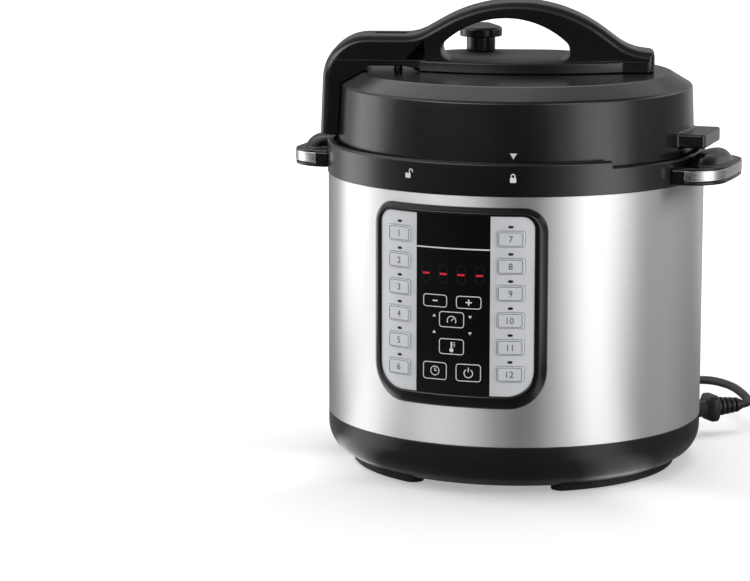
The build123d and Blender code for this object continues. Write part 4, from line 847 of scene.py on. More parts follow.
def screw_tree():
    """Ring of pan-head screws, heads down, each turned to where it came tight."""
    tree, given = new_tree(
        "screw_ring",
        (
            ("Count", "Int"),
            ("Ring Radius", "Float"),
            ("First Turn", "Float"),
            ("Height", "Float"),
            ("Head Radius", "Float"),
            ("Head Height", "Float"),
            ("Shank Radius", "Float"),
            ("Shank Length", "Float"),
            ("Metal", "Material"),
        ),
    )
    wide, tall, stem = given["Head Radius"], given["Head Height"], given["Shank Length"]
    wall = times(tree, tall, HEAD_WALL)
    head = add(tree, "GeometryNodeMeshCylinder", {"Vertices": 24, "Radius": wide, "Depth": wall})
    mesh, top = head.outputs["Mesh"], head.outputs["Top"]
    for rise, narrow in HEAD_CROWN:
        higher = {"Offset Scale": times(tree, tall, rise), "Individual": False}
        drawn = add(tree, "GeometryNodeExtrudeMesh", {"Mesh": mesh, "Selection": top, **higher})
        top = drawn.outputs["Top"]
        pinched = add(
            tree,
            "GeometryNodeScaleElements",
            {"Geometry": drawn.outputs["Mesh"], "Selection": top, "Scale": narrow},
        )
        mesh = pinched.outputs["Geometry"]
    crown = vector(tree, {"Z": times(tree, tall, SLOT_LEVEL)})
    for along, across, deep in SLOT_CUTS:
        sides = {along: times(tree, wide, SLOT_LENGTH), across: times(tree, wide, SLOT_WIDTH)}
        size = vector(tree, {**sides, "Z": times(tree, tall, deep)})
        bar = placed(tree, add(tree, "GeometryNodeMeshCube", {"Size": size}).outputs["Mesh"], crown)
        cut = add(
            tree, "GeometryNodeMeshBoolean", {"Mesh 1": mesh, "Mesh 2": bar}, operation="DIFFERENCE"
        )
        mesh = cut.outputs["Mesh"]
    shank = add(
        tree, "GeometryNodeMeshCylinder", {"Vertices": 16, "Radius": given["Shank Radius"], "Depth": stem}
    )
    below = vector(tree, {"Z": times(tree, stem, -0.5)})
    screw = add(tree, "GeometryNodeJoinGeometry", {"Geometry": mesh})
    tree.links.new(placed(tree, shank.outputs["Mesh"], below), screw.inputs["Geometry"])
    drop = vector(tree, {"Z": times(tree, tall, -HEAD_WALL / 2)})
    flipped = placed(tree, screw.outputs["Geometry"], drop, (math.pi, 0, 0))
    circle = add(
        tree, "GeometryNodeMeshCircle", {"Vertices": given["Count"], "Radius": given["Ring Radius"]}
    )
    level, spin = vector(tree, {"Z": given["Height"]}), vector(tree, {"Z": given["First Turn"]})
    places = placed(tree, circle.outputs["Mesh"], level, spin)
    tight = add(
        tree,
        "FunctionNodeRandomValue",
        {0: (0, 0, 0), 1: (0, 0, math.pi / 2), "Seed": SCREW_SEED},
        data_type="FLOAT_VECTOR",
    )
    ring = add(
        tree,
        "GeometryNodeInstanceOnPoints",
        {"Points": places, "Instance": flipped, "Rotation": tight.outputs[0]},
    )
    return close_tree(tree, ring.outputs["Instances"], given["Metal"])


def screws(node, radius, first_turn, height, shank):
    """Stand for a node of plain screws with real heads."""
    mesh = grown(
        screw_tree(),
        count=SCREW_COUNT,
        ring_radius=radius * MM,
        first_turn=math.radians(first_turn),
        height=height * MM,
        head_radius=SCREW_HEAD * MM,
        head_height=SCREW_HEAD_HEIGHT * MM,
        shank_radius=SCREW_SHANK * MM,
        shank_length=shank * MM,
        metal=finish(zinc_steel),
    )
    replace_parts(new_piece(node + "_cross_head", mesh, zinc_steel, body_of(node), SLOTS[node]), node)


def scale_tree():
    """Column of level marks, every few of them long."""
    tree, given = new_tree(
        "level_scale",
        (
            ("Count", "Int"),
            ("Pitch", "Float"),
            ("Every", "Int"),
            ("Long", "Float"),
            ("Short", "Float"),
            ("Thickness", "Float"),
            ("Ink", "Material"),
        ),
    )
    step = vector(tree, {"Y": given["Pitch"]})
    column = add(tree, "GeometryNodeMeshLine", {"Count": given["Count"], "Offset": step}, mode="OFFSET")
    index = add(tree, "GeometryNodeInputIndex").outputs["Index"]
    reach = add(
        tree,
        "GeometryNodeSwitch",
        {
            "Switch": calc(tree, "MODULO", index, given["Every"]),
            "False": given["Long"],
            "True": given["Short"],
        },
        input_type="FLOAT",
    )
    size = vector(tree, {"X": reach.outputs["Output"], "Y": given["Thickness"], "Z": 1.0})
    bar = add(
        tree, "GeometryNodeMeshGrid", {"Size X": 1.0, "Size Y": 1.0, "Vertices X": 2, "Vertices Y": 2}
    )
    marks = add(
        tree,
        "GeometryNodeInstanceOnPoints",
        {"Points": column.outputs["Mesh"], "Instance": bar.outputs["Mesh"], "Scale": size},
    )
    return close_tree(tree, marks.outputs["Instances"], given["Ink"])


def scale_drawing(count, pitch, every, long, short, thickness):
    """Flat drawing of a column of level marks, the first at the origin."""
    mesh = grown(
        scale_tree(),
        count=count,
        pitch=pitch * MM,
        every=every,
        long=long * MM,
        short=short * MM,
        thickness=thickness * MM,
        ink=finish(grey_ink),
    )
    return drawing_of(mesh)


def spring_tree():
    """Coil spring: a round wire led along a helix, its ends closed."""
    tree, given = new_tree(
        "coil_spring",
        (
            ("Turns", "Float"),
            ("Radius", "Float"),
            ("Wire Radius", "Float"),
            ("Foot", "Float"),
            ("Rise", "Float"),
            ("Metal", "Material"),
        ),
    )
    helix = add(
        tree,
        "GeometryNodeCurveSpiral",
        {
            "Resolution": 40,
            "Rotations": given["Turns"],
            "Start Radius": given["Radius"],
            "End Radius": given["Radius"],
            "Height": given["Rise"],
        },
    )
    wire = add(
        tree, "GeometryNodeCurvePrimitiveCircle", {"Resolution": 12, "Radius": given["Wire Radius"]}
    )
    swept = add(
        tree,
        "GeometryNodeCurveToMesh",
        {"Curve": helix.outputs["Curve"], "Profile Curve": wire.outputs["Curve"], "Fill Caps": True},
    )
    raised = placed(tree, swept.outputs["Mesh"], vector(tree, {"Z": given["Foot"]}))
    return close_tree(tree, raised, given["Metal"])


# Mains lead

LEAD_EXIT = (135.98, 135.98, 20.0)
LEAD_ROUTE = (
    LEAD_EXIT,
    (142.69, 142.69, 20.0),
    (131.2, 167.9, 20.5),
    (112.4, 203.2, 19.5),
    (85.5, 231.0, 17.0),
    (49.2, 250.0, 8.0),
    (13.3, 252.2, 4.15),
    (-17.8, 241.1, 4.15),
)
COIL_MIDDLE = (-10.1, 200.3)
COIL_START = 109.7
COIL_RADIUS = 41.0
COIL_DRAW = 8.8
COIL_LAYER = 7.1
COIL_LAY = 4.15
COIL_TAIL = 14.0
COIL_TURNS = 3
TURN_POINTS = 12


# Turns of the coil that lie on the floor, and the turn at which the lead is up on the second layer
COIL_FLAT = 1.25
COIL_CLIMBED = 1.75


def coil_point(turn):
    """Where the wound lead is after that many turns: in on the floor, up, and out again on top."""
    inward = min(turn, COIL_FLAT, COIL_TURNS - turn)
    radius = COIL_RADIUS - COIL_DRAW * max(inward, 0.0)
    share = min(max((turn - COIL_FLAT) / (COIL_CLIMBED - COIL_FLAT), 0.0), 1.0)
    rise = COIL_LAYER * share * share * (3 - 2 * share)
    return radius, COIL_LAY + rise


class COOKER_OT_mains_lead(bpy.types.Operator):
    """Lay the mains lead and its put-away coil as one smooth cord"""

    bl_idname = "cooker.mains_lead"
    bl_label = "Mains Lead"

    def execute(self, context):
        route = [Vector(spot) for spot in LEAD_ROUTE]
        half_step = math.pi / TURN_POINTS
        for i in range(COIL_TURNS * TURN_POINTS):
            turn = (i + 0.5) / TURN_POINTS
            radius, height = coil_point(turn)
            angle = math.radians(COIL_START) + math.tau * turn
            reach = radius / math.cos(half_step)
            x = COIL_MIDDLE[0] + reach * math.cos(angle)
            y = COIL_MIDDLE[1] + reach * math.sin(angle)
            route.append(Vector((x, y, height)))
        start = math.radians(COIL_START)
        end = Vector((*COIL_MIDDLE, COIL_LAY + COIL_LAYER))
        end += COIL_RADIUS * Vector((math.cos(start), math.sin(start), 0))
        route.append(end + COIL_TAIL * Vector((-math.sin(start), math.cos(start), 0)))
        line = bpy.data.curves.new("mains_lead", "CURVE")
        line.dimensions = "3D"
        line.bevel_depth = sizes().lead / 2
        line.bevel_resolution = 5
        line.resolution_u = 10
        line.use_fill_caps = True
        spline = line.splines.new("NURBS")
        spline.points.add(len(route) - 1)
        for point, spot in zip(spline.points, route):
            point.co = (*(spot * MM), 1.0)
        spline.order_u = 3
        spline.use_endpoint_u = True
        line.materials.append(finish(pvc_sheath))
        lead = in_scene("mains_lead", line)
        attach(lead, "housing")
        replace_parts(lead, "cord_lead", "cord_coil")
        plug = rounded("wall_plug", pvc_sheath, radius=0.8)
        tie = rounded("cord_tie", woven_tie, radius=0.25)
        dress(plated_brass, "plug_blades")
        return {"FINISHED"}


INLET_TURN = 45.0
INLET_Z = 20.0
# Nose, waisted neck and flare of the connector, as (distance from the axis, width, height, corner)
CONNECTOR_SECTIONS = (
    (126.0, 25.0, 14.6, 2.0),
    (135.2, 25.0, 14.6, 2.0),
    (135.3, 26.6, 17.4, 4.0),
    (142.0, 22.0, 15.4, 4.0),
    (153.0, 15.0, 12.4, 4.0),
    (160.2, 13.4, 11.6, 4.0),
    (161.6, 15.6, 14.4, 4.0),
    (163.8, 20.4, 19.4, 5.0),
    (164.6, 21.2, 20.0, 5.0),
    (168.2, 21.2, 20.0, 5.0),
    (169.0, 20.2, 18.8, 4.6),
)
RELIEF_RIBS = 5
RELIEF_FOOT = 169.6
RELIEF_PITCH = 4.3
RELIEF_WIDTH = 15.0
RELIEF_TAPER = 0.9
RELIEF_FLAT = 0.6
RELIEF_ROUND = 0.44
RELIEF_TIP = (192.2, 8.4, 8.4, 4.0)
# Section of one rib, as (distance from its foot, how much narrower it is there)
RIB_PROFILE = ((0.0, 3.2), (0.3, 0.0), (2.6, 0.0), (2.9, 3.2))


def connector_sections():
    """Sections of the connector from its nose to the end of its ribbed relief."""
    sections = list(CONNECTOR_SECTIONS)
    for i in range(RELIEF_RIBS):
        for step, cut in RIB_PROFILE:
            size = RELIEF_WIDTH - RELIEF_TAPER * i - cut
            reach = RELIEF_FOOT + RELIEF_PITCH * i + step
            sections.append((reach, size, size - RELIEF_FLAT, RELIEF_ROUND * size))
    return sections + [RELIEF_TIP]


def connector_form():
    """Connector of the lead, lofted through its sections."""
    turn = math.radians(INLET_TURN)
    out = Vector((math.cos(turn), math.sin(turn), 0))
    across = Vector((-math.sin(turn), math.cos(turn), 0))
    rows = []
    for reach, width, height, corner in connector_sections():
        middle = out * reach * MM + Vector((0, 0, INLET_Z * MM))
        outline = rounded_box(width * MM, height * MM, corner * MM)
        rows.append([middle + across * x + Vector((0, 0, y)) for x, y in outline])
    mesh = lofted("connector_grip", rows, sharp=38)
    grip = new_piece("connector_grip", mesh, pvc_sheath, "housing", SLOTS["cord_connector"])
    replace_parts(grip, "cord_connector")


class COOKER_OT_connector(bpy.types.Operator):
    """Finish the inlet and the connector with its ribbed strain relief"""

    bl_idname = "cooker.connector"
    bl_label = "Connector"

    def execute(self, context):
        connector_form()
        rounded("inlet_socket", moulded_abs, radius=0.4)
        dress(plated_brass, "inlet_pins")
        return {"FINISHED"}


# Housing

# Rim on the left side, as (distance from the axis, height) round its section
RIM_SECTION = ((131.45, 227.9), (135.55, 227.9), (135.55, 231.8), (134.4, 232.95), (131.45, 232.95))
RIM_TURNS = (136.6, 223.4)
RIM_STEPS = 72


def left_rim():
    """Rim of the collar carried on behind the left handle at full height."""
    rows = []
    for i in range(RIM_STEPS + 1):
        turn = math.radians(RIM_TURNS[0] + (RIM_TURNS[1] - RIM_TURNS[0]) * i / RIM_STEPS)
        rows.append([(r * math.cos(turn) * MM, r * math.sin(turn) * MM, z * MM) for r, z in RIM_SECTION])
    new_piece("left_rim", lofted("left_rim", rows, sharp=30), moulded_abs, "housing", SLOTS["collar"])


class COOKER_OT_housing(bpy.types.Operator):
    """Finish the steel wall, base, collar, feet and underside"""

    bl_idname = "cooker.housing"
    bl_label = "Housing"

    def execute(self, context):
        wall = rounded("steel_body", brushed_steel, radius=0.25)
        wrap_round(wall.data)
        rounded("base_shell", moulded_abs, radius=0.7)
        rounded("collar", moulded_abs, radius=0.6)
        left_rim()
        rounded("feet", foot_rubber, radius=0.7)
        rounded("bottom_plate", moulded_abs, radius=0.4)
        screws("base_screws", radius=92.0, first_turn=20.0, height=5.5, shank=5.9)
        return {"FINISHED"}


class COOKER_OT_side_handles(bpy.types.Operator):
    """Finish the two side handles and their bright strips"""

    bl_idname = "cooker.side_handles"
    bl_label = "Side Handles"

    def execute(self, context):
        for side in ("left", "right"):
            rounded("side_handle_" + side, gloss_abs, radius=1.0)
            rounded("handle_trim_" + side, bright_trim, radius=0.4)
        return {"FINISHED"}


SPRING_MIDDLE = 9.0
SPRING_WIRE = 1.0
SPRING_TURNS = 3


def sensor_coil():
    """Spring under the sensor, which shortens as the sensor is pressed down; here it is made at one fixed
    length.
    """
    low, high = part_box("sensor_spring")
    mesh = grown(
        spring_tree(),
        turns=SPRING_TURNS,
        radius=SPRING_MIDDLE * MM,
        wire_radius=SPRING_WIRE / 2 * MM,
        foot=low.z + SPRING_WIRE / 2 * MM,
        rise=high.z - low.z - SPRING_WIRE * MM,
        metal=finish(zinc_steel),
    )
    mesh.shade_smooth()
    coil = new_piece("sensor_coil_spring", mesh, zinc_steel, "housing", SLOTS["sensor_spring"])
    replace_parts(coil, "sensor_spring")
    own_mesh(coil)


POT_INNER = 112.3
LEVELS = 9
LEVEL_FOOT = 78.0
LEVEL_PITCH = 13.0
LEVEL_NUMBER = 5.5
# How far round the pot the numbers stand from the marks, in degrees
LEVEL_ASIDE = 6.5


class COOKER_OT_inside(bpy.types.Operator):
    """Finish the pots, heater, sensor and what the housing holds"""

    bl_idname = "cooker.inside"
    bl_label = "Inside"

    def execute(self, context):
        dress(nonstick_pot, "cooking_pot")
        dress(pressed_aluminium, "outer_pot")
        dress(stainless, "lock_ring", "temperature_sensor")
        dress(cast_aluminium, "heating_plate")
        sensor_coil()
        dress(moulded_abs, "pressure_switch")
        dress(circuit_board, "power_board", "control_board")
        marks = scale_drawing(LEVELS, LEVEL_PITCH, every=2, long=13.0, short=7.0, thickness=0.9)
        lay = inside_wall(POT_INNER * MM, 180, LEVEL_FOOT * MM)
        printed("pot_scale", marks, lay, white_ink, "pot", SLOTS["cooking_pot"])
        for i in range(0, LEVELS, 2):
            number = str(i + 2)
            mark = numeral(number, LEVEL_NUMBER * MM)
            lay = inside_wall(POT_INNER * MM, 180 - LEVEL_ASIDE, (LEVEL_FOOT + i * LEVEL_PITCH) * MM)
            printed("pot_level_" + number, mark, lay, white_ink, "pot", SLOTS["cooking_pot"])
        return {"FINISHED"}


CUP_LEVELS = 5
CUP_SCALE_FOOT = 9.0
CUP_SCALE_PITCH = 6.0


class COOKER_OT_cup(bpy.types.Operator):
    """Finish the clear cup at the back that catches condensed water"""

    bl_idname = "cooker.cup"
    bl_label = "Condensation Cup"

    def execute(self, context):
        rounded("condensation_cup", clear_plastic, radius=0.4)
        low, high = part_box("condensation_cup")
        marks = scale_drawing(CUP_LEVELS, CUP_SCALE_PITCH, every=2, long=9.0, short=5.0, thickness=0.7)

        def lay(spot):
            return Vector((-spot.x, high.y + spot.z, low.z + CUP_SCALE_FOOT * MM + spot.y))

        printed("cup_scale", marks, lay, grey_ink, "cup", SLOTS["condensation_cup"])
        return {"FINISHED"}


# Control panel

WINDOW_HALF = 57.05
WINDOW_Z = (72.65, 197.1)
WINDOW_CORNERS = (8.5, 18.0)
FRAME_HALF = 66.9
FRAME_Z = (63.0, 202.7)
FRAME_CORNERS = (17.0, 27.0)
# Section of the frame, as (share of the way out, distance from the axis)
FRAME_PROFILE = (
    (0.0, 135.1),
    (0.0, 138.6),
    (0.03, 138.95),
    (0.09, 139.2),
    (0.3, 139.3),
    (0.4, 139.1),
    (0.5, 138.6),
    (0.75, 137.1),
    (0.92, 135.8),
    (1.0, 135.1),
)
STRIP_TOP = 192.35
STRIP_CORNER = 7.85
STRIP_INNER = 26.84
CENTRE_HALF = 26.69
CAP_LAP = 0.6
CAP_STEPS = 24
CAP_LIFT = 0.01
CAP_DEPTH = 1.4
DISPLAY_Z = 156.0
RULE_Z = 174.0
RULE_WIDTH = 0.9
RULE_INSET = 0.2
RULE_STEPS = 24
DIGITS = 4
DIGIT_WIDTH = 7.4
UNLIT_LIFT = 0.03
# Room between the bars of a digit, as a share of their thickness
BAR_ROOM = 0.16
LAMP_HEIGHT = 1.7
LAMP_CORNER = 0.7
LAMP_RISE = 8.3
LAMP_LIFT = 0.15
# Line of painted shade inside the edge of a program key, standing in for the shaded gap round the raised
# key: its inset, width and corner
KEY_SHADE_INSET = 0.75
KEY_SHADE_LINE = 0.35
KEY_SHADE_CORNER = 1.6
TOUCH_CORNER = 2.2
ARROW_SIDE = 13.0
ARROW_ROWS = (127.0, 115.6)
ARROW_HALF = 1.3
ARROW_TIP = 1.0


def digit_bars(width, height, thick):
    """Outlines of the seven bars of a digit, the middle one first."""
    room = thick * BAR_ROOM
    across = width - thick - 2 * room
    upward = (height - thick) / 2 - 2 * room
    places = [(0, 0, 0), (0, height / 2 - thick / 2, 0), (0, thick / 2 - height / 2, 0)]
    for x in (-1, 1):
        for y in (-1, 1):
            places.append((x * (width - thick) / 2, y * (height - thick) / 4, 90))
    bars = []
    for x, y, turn in places:
        long = (across if turn == 0 else upward) / 2
        tip = thick / 2
        flat = long - tip
        spots = [(-long, 0), (-flat, -tip), (flat, -tip), (long, 0), (flat, tip), (-flat, tip)]
        if turn:
            spots = [(-b, a) for a, b in spots]
        bars.append([(x + a, y + b) for a, b in spots])
    return bars


def panel_radius():
    """Distance from the axis of the panel's dark window."""
    return max(math.hypot(v.co.x, v.co.y) for v in NODES["centre_panel"].data.vertices)


def panel_outline(half, heights, corners, steps=8, run=16):
    """Closed outline of the panel, its straight runs divided so that they bend with the wall."""
    half, low, high, top_corner, low_corner = (size * MM for size in (half, *heights, *corners))
    arcs = []
    for quarter, (right, up) in enumerate(((1, 1), (-1, 1), (-1, -1), (1, -1))):
        radius = top_corner if up > 0 else low_corner
        middle = high - radius if up > 0 else low + radius
        arcs.append(arc(right * (half - radius), middle, radius, 90 * quarter, 90 * quarter + 90, steps))
    spots = []
    for one, two in zip(arcs, arcs[1:] + arcs[:1]):
        spots += one
        start, end = Vector(one[-1]), Vector(two[0])
        spots += [tuple(start.lerp(end, i / run)) for i in range(1, run)]
    return spots


def bezel_frame():
    """Frame of the panel: a low round rim and a broad side that falls away to the steel."""
    radius = panel_radius()
    inner = panel_outline(WINDOW_HALF, WINDOW_Z, WINDOW_CORNERS)
    outer = panel_outline(FRAME_HALF, FRAME_Z, FRAME_CORNERS)
    rows = []
    for share, reach in FRAME_PROFILE:
        row = []
        for one, two in zip(inner, outer):
            x, height = Vector(one).lerp(Vector(two), share)
            turn = x / radius
            row.append((reach * MM * math.sin(turn), -reach * MM * math.cos(turn), height))
        rows.append(row)
    mesh = lofted("bezel_frame", rows, closed=True)
    piece = new_piece("bezel_frame", mesh, gloss_abs, "housing", SLOTS["panel_bezel"])
    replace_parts(piece, "panel_bezel")


def top_edge(x, half, high, corner):
    """Height of the upper edge of an outline at x."""
    inward = abs(x) - (half - corner)
    return high - corner + math.sqrt(max(corner * corner - max(inward, 0.0) ** 2, 0.0))


def strip_cap(name, ends, maker, slot):
    """Plate that carries a strip of the panel on up to the frame."""
    drawing = bmesh.new()
    pairs = []
    for i in range(CAP_STEPS + 1):
        share = (1 - math.cos(math.pi * i / CAP_STEPS)) / 2
        x = ends[0] + (ends[1] - ends[0]) * share
        upper = top_edge(x, WINDOW_HALF, WINDOW_Z[1], WINDOW_CORNERS[0])
        lower = top_edge(x, WINDOW_HALF, STRIP_TOP, STRIP_CORNER) - CAP_LAP
        pairs.append([drawing.verts.new((x * MM, z * MM, 0)) for z in (lower, upper)])
    for one, two in zip(pairs, pairs[1:]):
        drawing.faces.new((one[0], two[0], two[1], one[1]))
    lay = on_wall(panel_radius(), 0, 0)
    printed(name, drawing, lay, maker, "housing", slot, CAP_LIFT * MM, CAP_DEPTH * MM)


class COOKER_OT_panel(bpy.types.Operator):
    """Finish the frame of the control panel, its key strips and its dark window"""

    bl_idname = "cooker.panel"
    bl_label = "Control Panel"

    def execute(self, context):
        bezel_frame()
        dress(silver_lacquer, "key_strip_left", "key_strip_right")
        dress(gloss_acrylic, "centre_panel")
        strip_cap("strip_cap_left", (-WINDOW_HALF, -STRIP_INNER), silver_lacquer, SLOTS["key_strip_left"])
        strip_cap("strip_cap_right", (STRIP_INNER, WINDOW_HALF), silver_lacquer, SLOTS["key_strip_right"])
        strip_cap("window_cap", (-CENTRE_HALF, CENTRE_HALF), gloss_acrylic, SLOTS["centre_panel"])
        return {"FINISHED"}


class COOKER_OT_display(bpy.types.Operator):
    """Draw the display's digits and the rule above it"""

    bl_idname = "cooker.display"
    bl_label = "Display"

    def execute(self, context):
        lit = bmesh.new()
        unlit = bmesh.new()
        bars = digit_bars(DIGIT_WIDTH * MM, sizes().digit, sizes().digit_bar)
        for i in range(DIGITS):
            shift = (i - (DIGITS - 1) / 2) * sizes().digit_pitch
            for n, spots in enumerate(bars):
                draw_outline(lit if n == 0 else unlit, [(x + shift, y) for x, y in spots])
        radius = panel_radius()
        lay = on_wall(radius, 0, DISPLAY_Z * MM)
        printed("display_lit", lit, lay, lit_bar, "housing", SLOTS["centre_panel"])
        printed("display_unlit", unlit, lay, unlit_bar, "housing", SLOTS["centre_panel"], UNLIT_LIFT * MM)
        rule = bmesh.new()
        low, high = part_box("centre_panel")
        half = radius * math.asin((high.x - low.x) / 2 / radius) - RULE_INSET * MM
        spots = [(half * (2 * i / RULE_STEPS - 1), 0) for i in range(RULE_STEPS + 1)]
        draw_line(rule, spots, RULE_WIDTH * MM)
        lay = on_wall(radius, 0, RULE_Z * MM)
        printed("display_rule", rule, lay, white_ink, "housing", SLOTS["centre_panel"])
        return {"FINISHED"}


def draw_gauge(drawing):
    """Round gauge with a needle."""
    draw_line(drawing, arc(0, -0.7 * MM, 3.1 * MM, -30, 210), 0.6 * MM)
    draw_line(drawing, [(-0.3 * MM, -1.0 * MM), (1.5 * MM, 1.0 * MM)], 0.6 * MM)


def draw_thermometer(drawing):
    """Stem with a bulb."""
    draw_outline(drawing, arc(0, -2.4 * MM, 1.5 * MM, 0, 345, 23))
    draw_line(drawing, [(0, -1.2 * MM), (0, 3.4 * MM)], 1.2 * MM)
    for i in range(3):
        draw_line(drawing, [(1.4 * MM, (0.4 + 1.2 * i) * MM), (2.6 * MM, (0.4 + 1.2 * i) * MM)], 0.5 * MM)


def draw_clock(drawing):
    """Clock face with two hands."""
    draw_ring(drawing, arc(0, 0, 3.4 * MM, 0, 350, 35), arc(0, 0, 2.85 * MM, 0, 350, 35))
    draw_line(drawing, [(0, -0.3 * MM), (0, 2.1 * MM)], 0.6 * MM)
    draw_line(drawing, [(0.3 * MM, 0), (1.7 * MM, 0)], 0.6 * MM)


def draw_power(drawing):
    """Open ring with a stroke through its gap."""
    draw_line(drawing, arc(0, -0.4 * MM, 3.0 * MM, 125, 415, 24), 0.65 * MM)
    draw_line(drawing, [(0, 0.4 * MM), (0, 3.6 * MM)], 0.65 * MM)


def draw_minus(drawing):
    """Level stroke."""
    draw_line(drawing, [(-1.9 * MM, 0), (1.9 * MM, 0)], 0.9 * MM)


def draw_plus(drawing):
    """Level and upright strokes."""
    draw_line(drawing, [(-2.1 * MM, 0), (2.1 * MM, 0)], 0.9 * MM)
    for side in (-1, 1):
        draw_line(drawing, [(0, side * 0.45 * MM), (0, side * 2.1 * MM)], 0.9 * MM)


TOUCH_MARKS = {
    "key_minus": draw_minus,
    "key_plus": draw_plus,
    "key_pressure": draw_gauge,
    "key_temperature": draw_thermometer,
    "key_delay": draw_clock,
    "key_start": draw_power,
}


def draw_border(drawing, node, inset, line, corner):
    """A line of even width inside the edge of a key: printed outline on a touch key, painted shade of the
    edge on a program key.
    """
    width, height = face_size(node)
    inner = inset + line
    draw_ring(
        drawing,
        rounded_box(width - 2 * inset, height - 2 * inset, corner),
        rounded_box(width - 2 * inner, height - 2 * inner, corner - line),
    )


class COOKER_OT_keys(bpy.types.Operator):
    """Finish the keys, print their marks and paint a line of shade inside the edge of each program key"""

    bl_idname = "cooker.keys"
    bl_label = "Keys"

    def execute(self, context):
        for number, node in enumerate(PROGRAM_KEYS, 1):
            rounded(node, silver_lacquer, radius=0.7)
            mark = numeral(str(number), sizes().numeral)
            # Grey line inside the key's edge: painted shade of the gap round the raised key, printed with
            # the number
            draw_border(mark, node, KEY_SHADE_INSET * MM, KEY_SHADE_LINE * MM, KEY_SHADE_CORNER * MM)
            printed(node + "_number", mark, on_key(node), grey_ink, body_of(node), SLOTS[node])
        for node, draw_mark in TOUCH_MARKS.items():
            rounded(node, gloss_acrylic, radius=0.3)
            mark = bmesh.new()
            draw_border(mark, node, sizes().outline / 2, sizes().outline, TOUCH_CORNER * MM)
            draw_mark(mark)
            printed(node + "_mark", mark, on_key(node), white_ink, body_of(node), SLOTS[node])
        return {"FINISHED"}


class COOKER_OT_panel_marks(bpy.types.Operator):
    """Set the lamps over the program keys and the small arrows by the touch keys"""

    bl_idname = "cooker.panel_marks"
    bl_label = "Panel Marks"

    def execute(self, context):
        radius = panel_radius()
        lamps = bmesh.new()
        for node in PROGRAM_KEYS:
            low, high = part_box(node)
            middle = (low + high) / 2
            x = radius * math.atan2(middle.x, -middle.y)
            y = middle.z + LAMP_RISE * MM
            outline = rounded_box(sizes().lamp, LAMP_HEIGHT * MM, LAMP_CORNER * MM, 3)
            draw_outline(lamps, [(x + a, y + b) for a, b in outline])
        lay = on_wall(radius, 0, 0)
        printed("program_lamps", lamps, lay, dark_lens, "housing", SLOTS["centre_panel"], LAMP_LIFT * MM)
        arrows = bmesh.new()
        for row in ARROW_ROWS:
            for side in (-1, 1):
                x, y = side * ARROW_SIDE * MM, row * MM
                half, tip = ARROW_HALF * MM, -side * ARROW_TIP * MM
                draw_outline(arrows, [(x - half, y - tip), (x + half, y - tip), (x, y + tip)])
        printed("level_arrows", arrows, lay, white_ink, "housing", SLOTS["centre_panel"])
        return {"FINISHED"}


# Lid

LID_TURN = 16.3
LOCK_ANGLE = 17.3
OPEN_ANGLE = -14.84
LOCK_Z = 222.9
POINTER_Z = 236.9
POINTER = ((-2.4, 2.0), (2.4, 2.0), (0.0, -2.0))
# The skirt is read at the front, from its foot up to where it has narrowed by more than these
SKIRT_FRONT = -50 * MM
SKIRT_SHARE = 0.98
SKIRT_SLACK = 0.5 * MM


def skirt_radii():
    """(height, radius) at the foot and at the shoulder of the lid's skirt."""
    rims = {}
    for spot in (v.co for v in NODES["lid_cover"].data.vertices if v.co.y < SKIRT_FRONT):
        key = round(spot.z, 4)
        rims[key] = max(rims.get(key, 0), math.hypot(spot.x, spot.y))
    foot = min(rims)
    wide = [(z, r) for z, r in rims.items() if r > SKIRT_SHARE * rims[foot] - SKIRT_SLACK]
    return (foot, rims[foot]), max(wide)


def draw_padlock(drawing, open_lock):
    """Padlock with its bow closed, or swung up to the right."""
    draw_outline(drawing, [(x, y - 1.2 * MM) for x, y in rounded_box(4.2 * MM, 3.4 * MM, 0.4 * MM, 3)])
    shift, rise = (2.4 * MM, 0.5 * MM) if open_lock else (0.0, 0.0)
    legs = (0.6 * MM, 1.3 * MM) if open_lock else (0.6 * MM, 0.6 * MM)
    bow = arc(shift, 1.6 * MM + rise, 1.25 * MM, 0, 180, 12)
    right = [(bow[0][0], legs[1])]
    left = [(bow[-1][0], legs[0])]
    draw_line(drawing, right + bow + left, 0.7 * MM)


class COOKER_OT_lock_marks(bpy.types.Operator):
    """Print the padlocks on the collar and the pointer on the lid"""

    bl_idname = "cooker.lock_marks"
    bl_label = "Lock Marks"

    def execute(self, context):
        collar_radius = max(
            math.hypot(v.co.x, v.co.y) for v in NODES["collar"].data.vertices if v.co.y < 0
        )
        for name, angle, is_open in (("lock_closed", LOCK_ANGLE, False), ("lock_open", OPEN_ANGLE, True)):
            mark = bmesh.new()
            draw_padlock(mark, is_open)
            lay = on_wall(collar_radius, angle, LOCK_Z * MM)
            printed(name, mark, lay, white_ink, "housing", SLOTS["collar"])
        pointer = bmesh.new()
        draw_outline(pointer, [(x * MM, y * MM) for x, y in POINTER])
        lay = on_slope(*skirt_radii(), LOCK_ANGLE, POINTER_Z * MM)
        printed("lid_pointer", pointer, lay, white_ink, "lid", SLOTS["lid_cover"])
        return {"FINISHED"}


class COOKER_OT_lid(bpy.types.Operator):
    """Finish the lid, its handle and its underside"""

    bl_idname = "cooker.lid"
    bl_label = "Lid"

    def execute(self, context):
        rounded("lid_cover", moulded_abs, radius=1.5, segments=4)
        rounded("lid_handle", handle_abs, radius=1.2, segments=4)
        dress(stainless, "lid_plate", "vent_pipe", "vent_shield")
        screws("lid_screws", radius=70.0, first_turn=LID_TURN + 45.0, height=253.4, shank=12.0)
        dress(stainless, "gasket_rack")
        dress(silicone, "sealing_ring")
        return {"FINISHED"}


class COOKER_OT_valves(bpy.types.Operator):
    """Finish the steam valve and the float valve"""

    bl_idname = "cooker.valves"
    bl_label = "Valves"

    def execute(self, context):
        rounded("steam_valve", moulded_abs, radius=0.7)
        dress(moulded_abs, "float_valve")
        return {"FINISHED"}


# Studio, in metres

CAMERA_AT = (0.6654, -2.0432, 0.5079)
CAMERA_TURN = 20.746
CAMERA_DIP = 10.2
CAMERA_LENS = 144.09
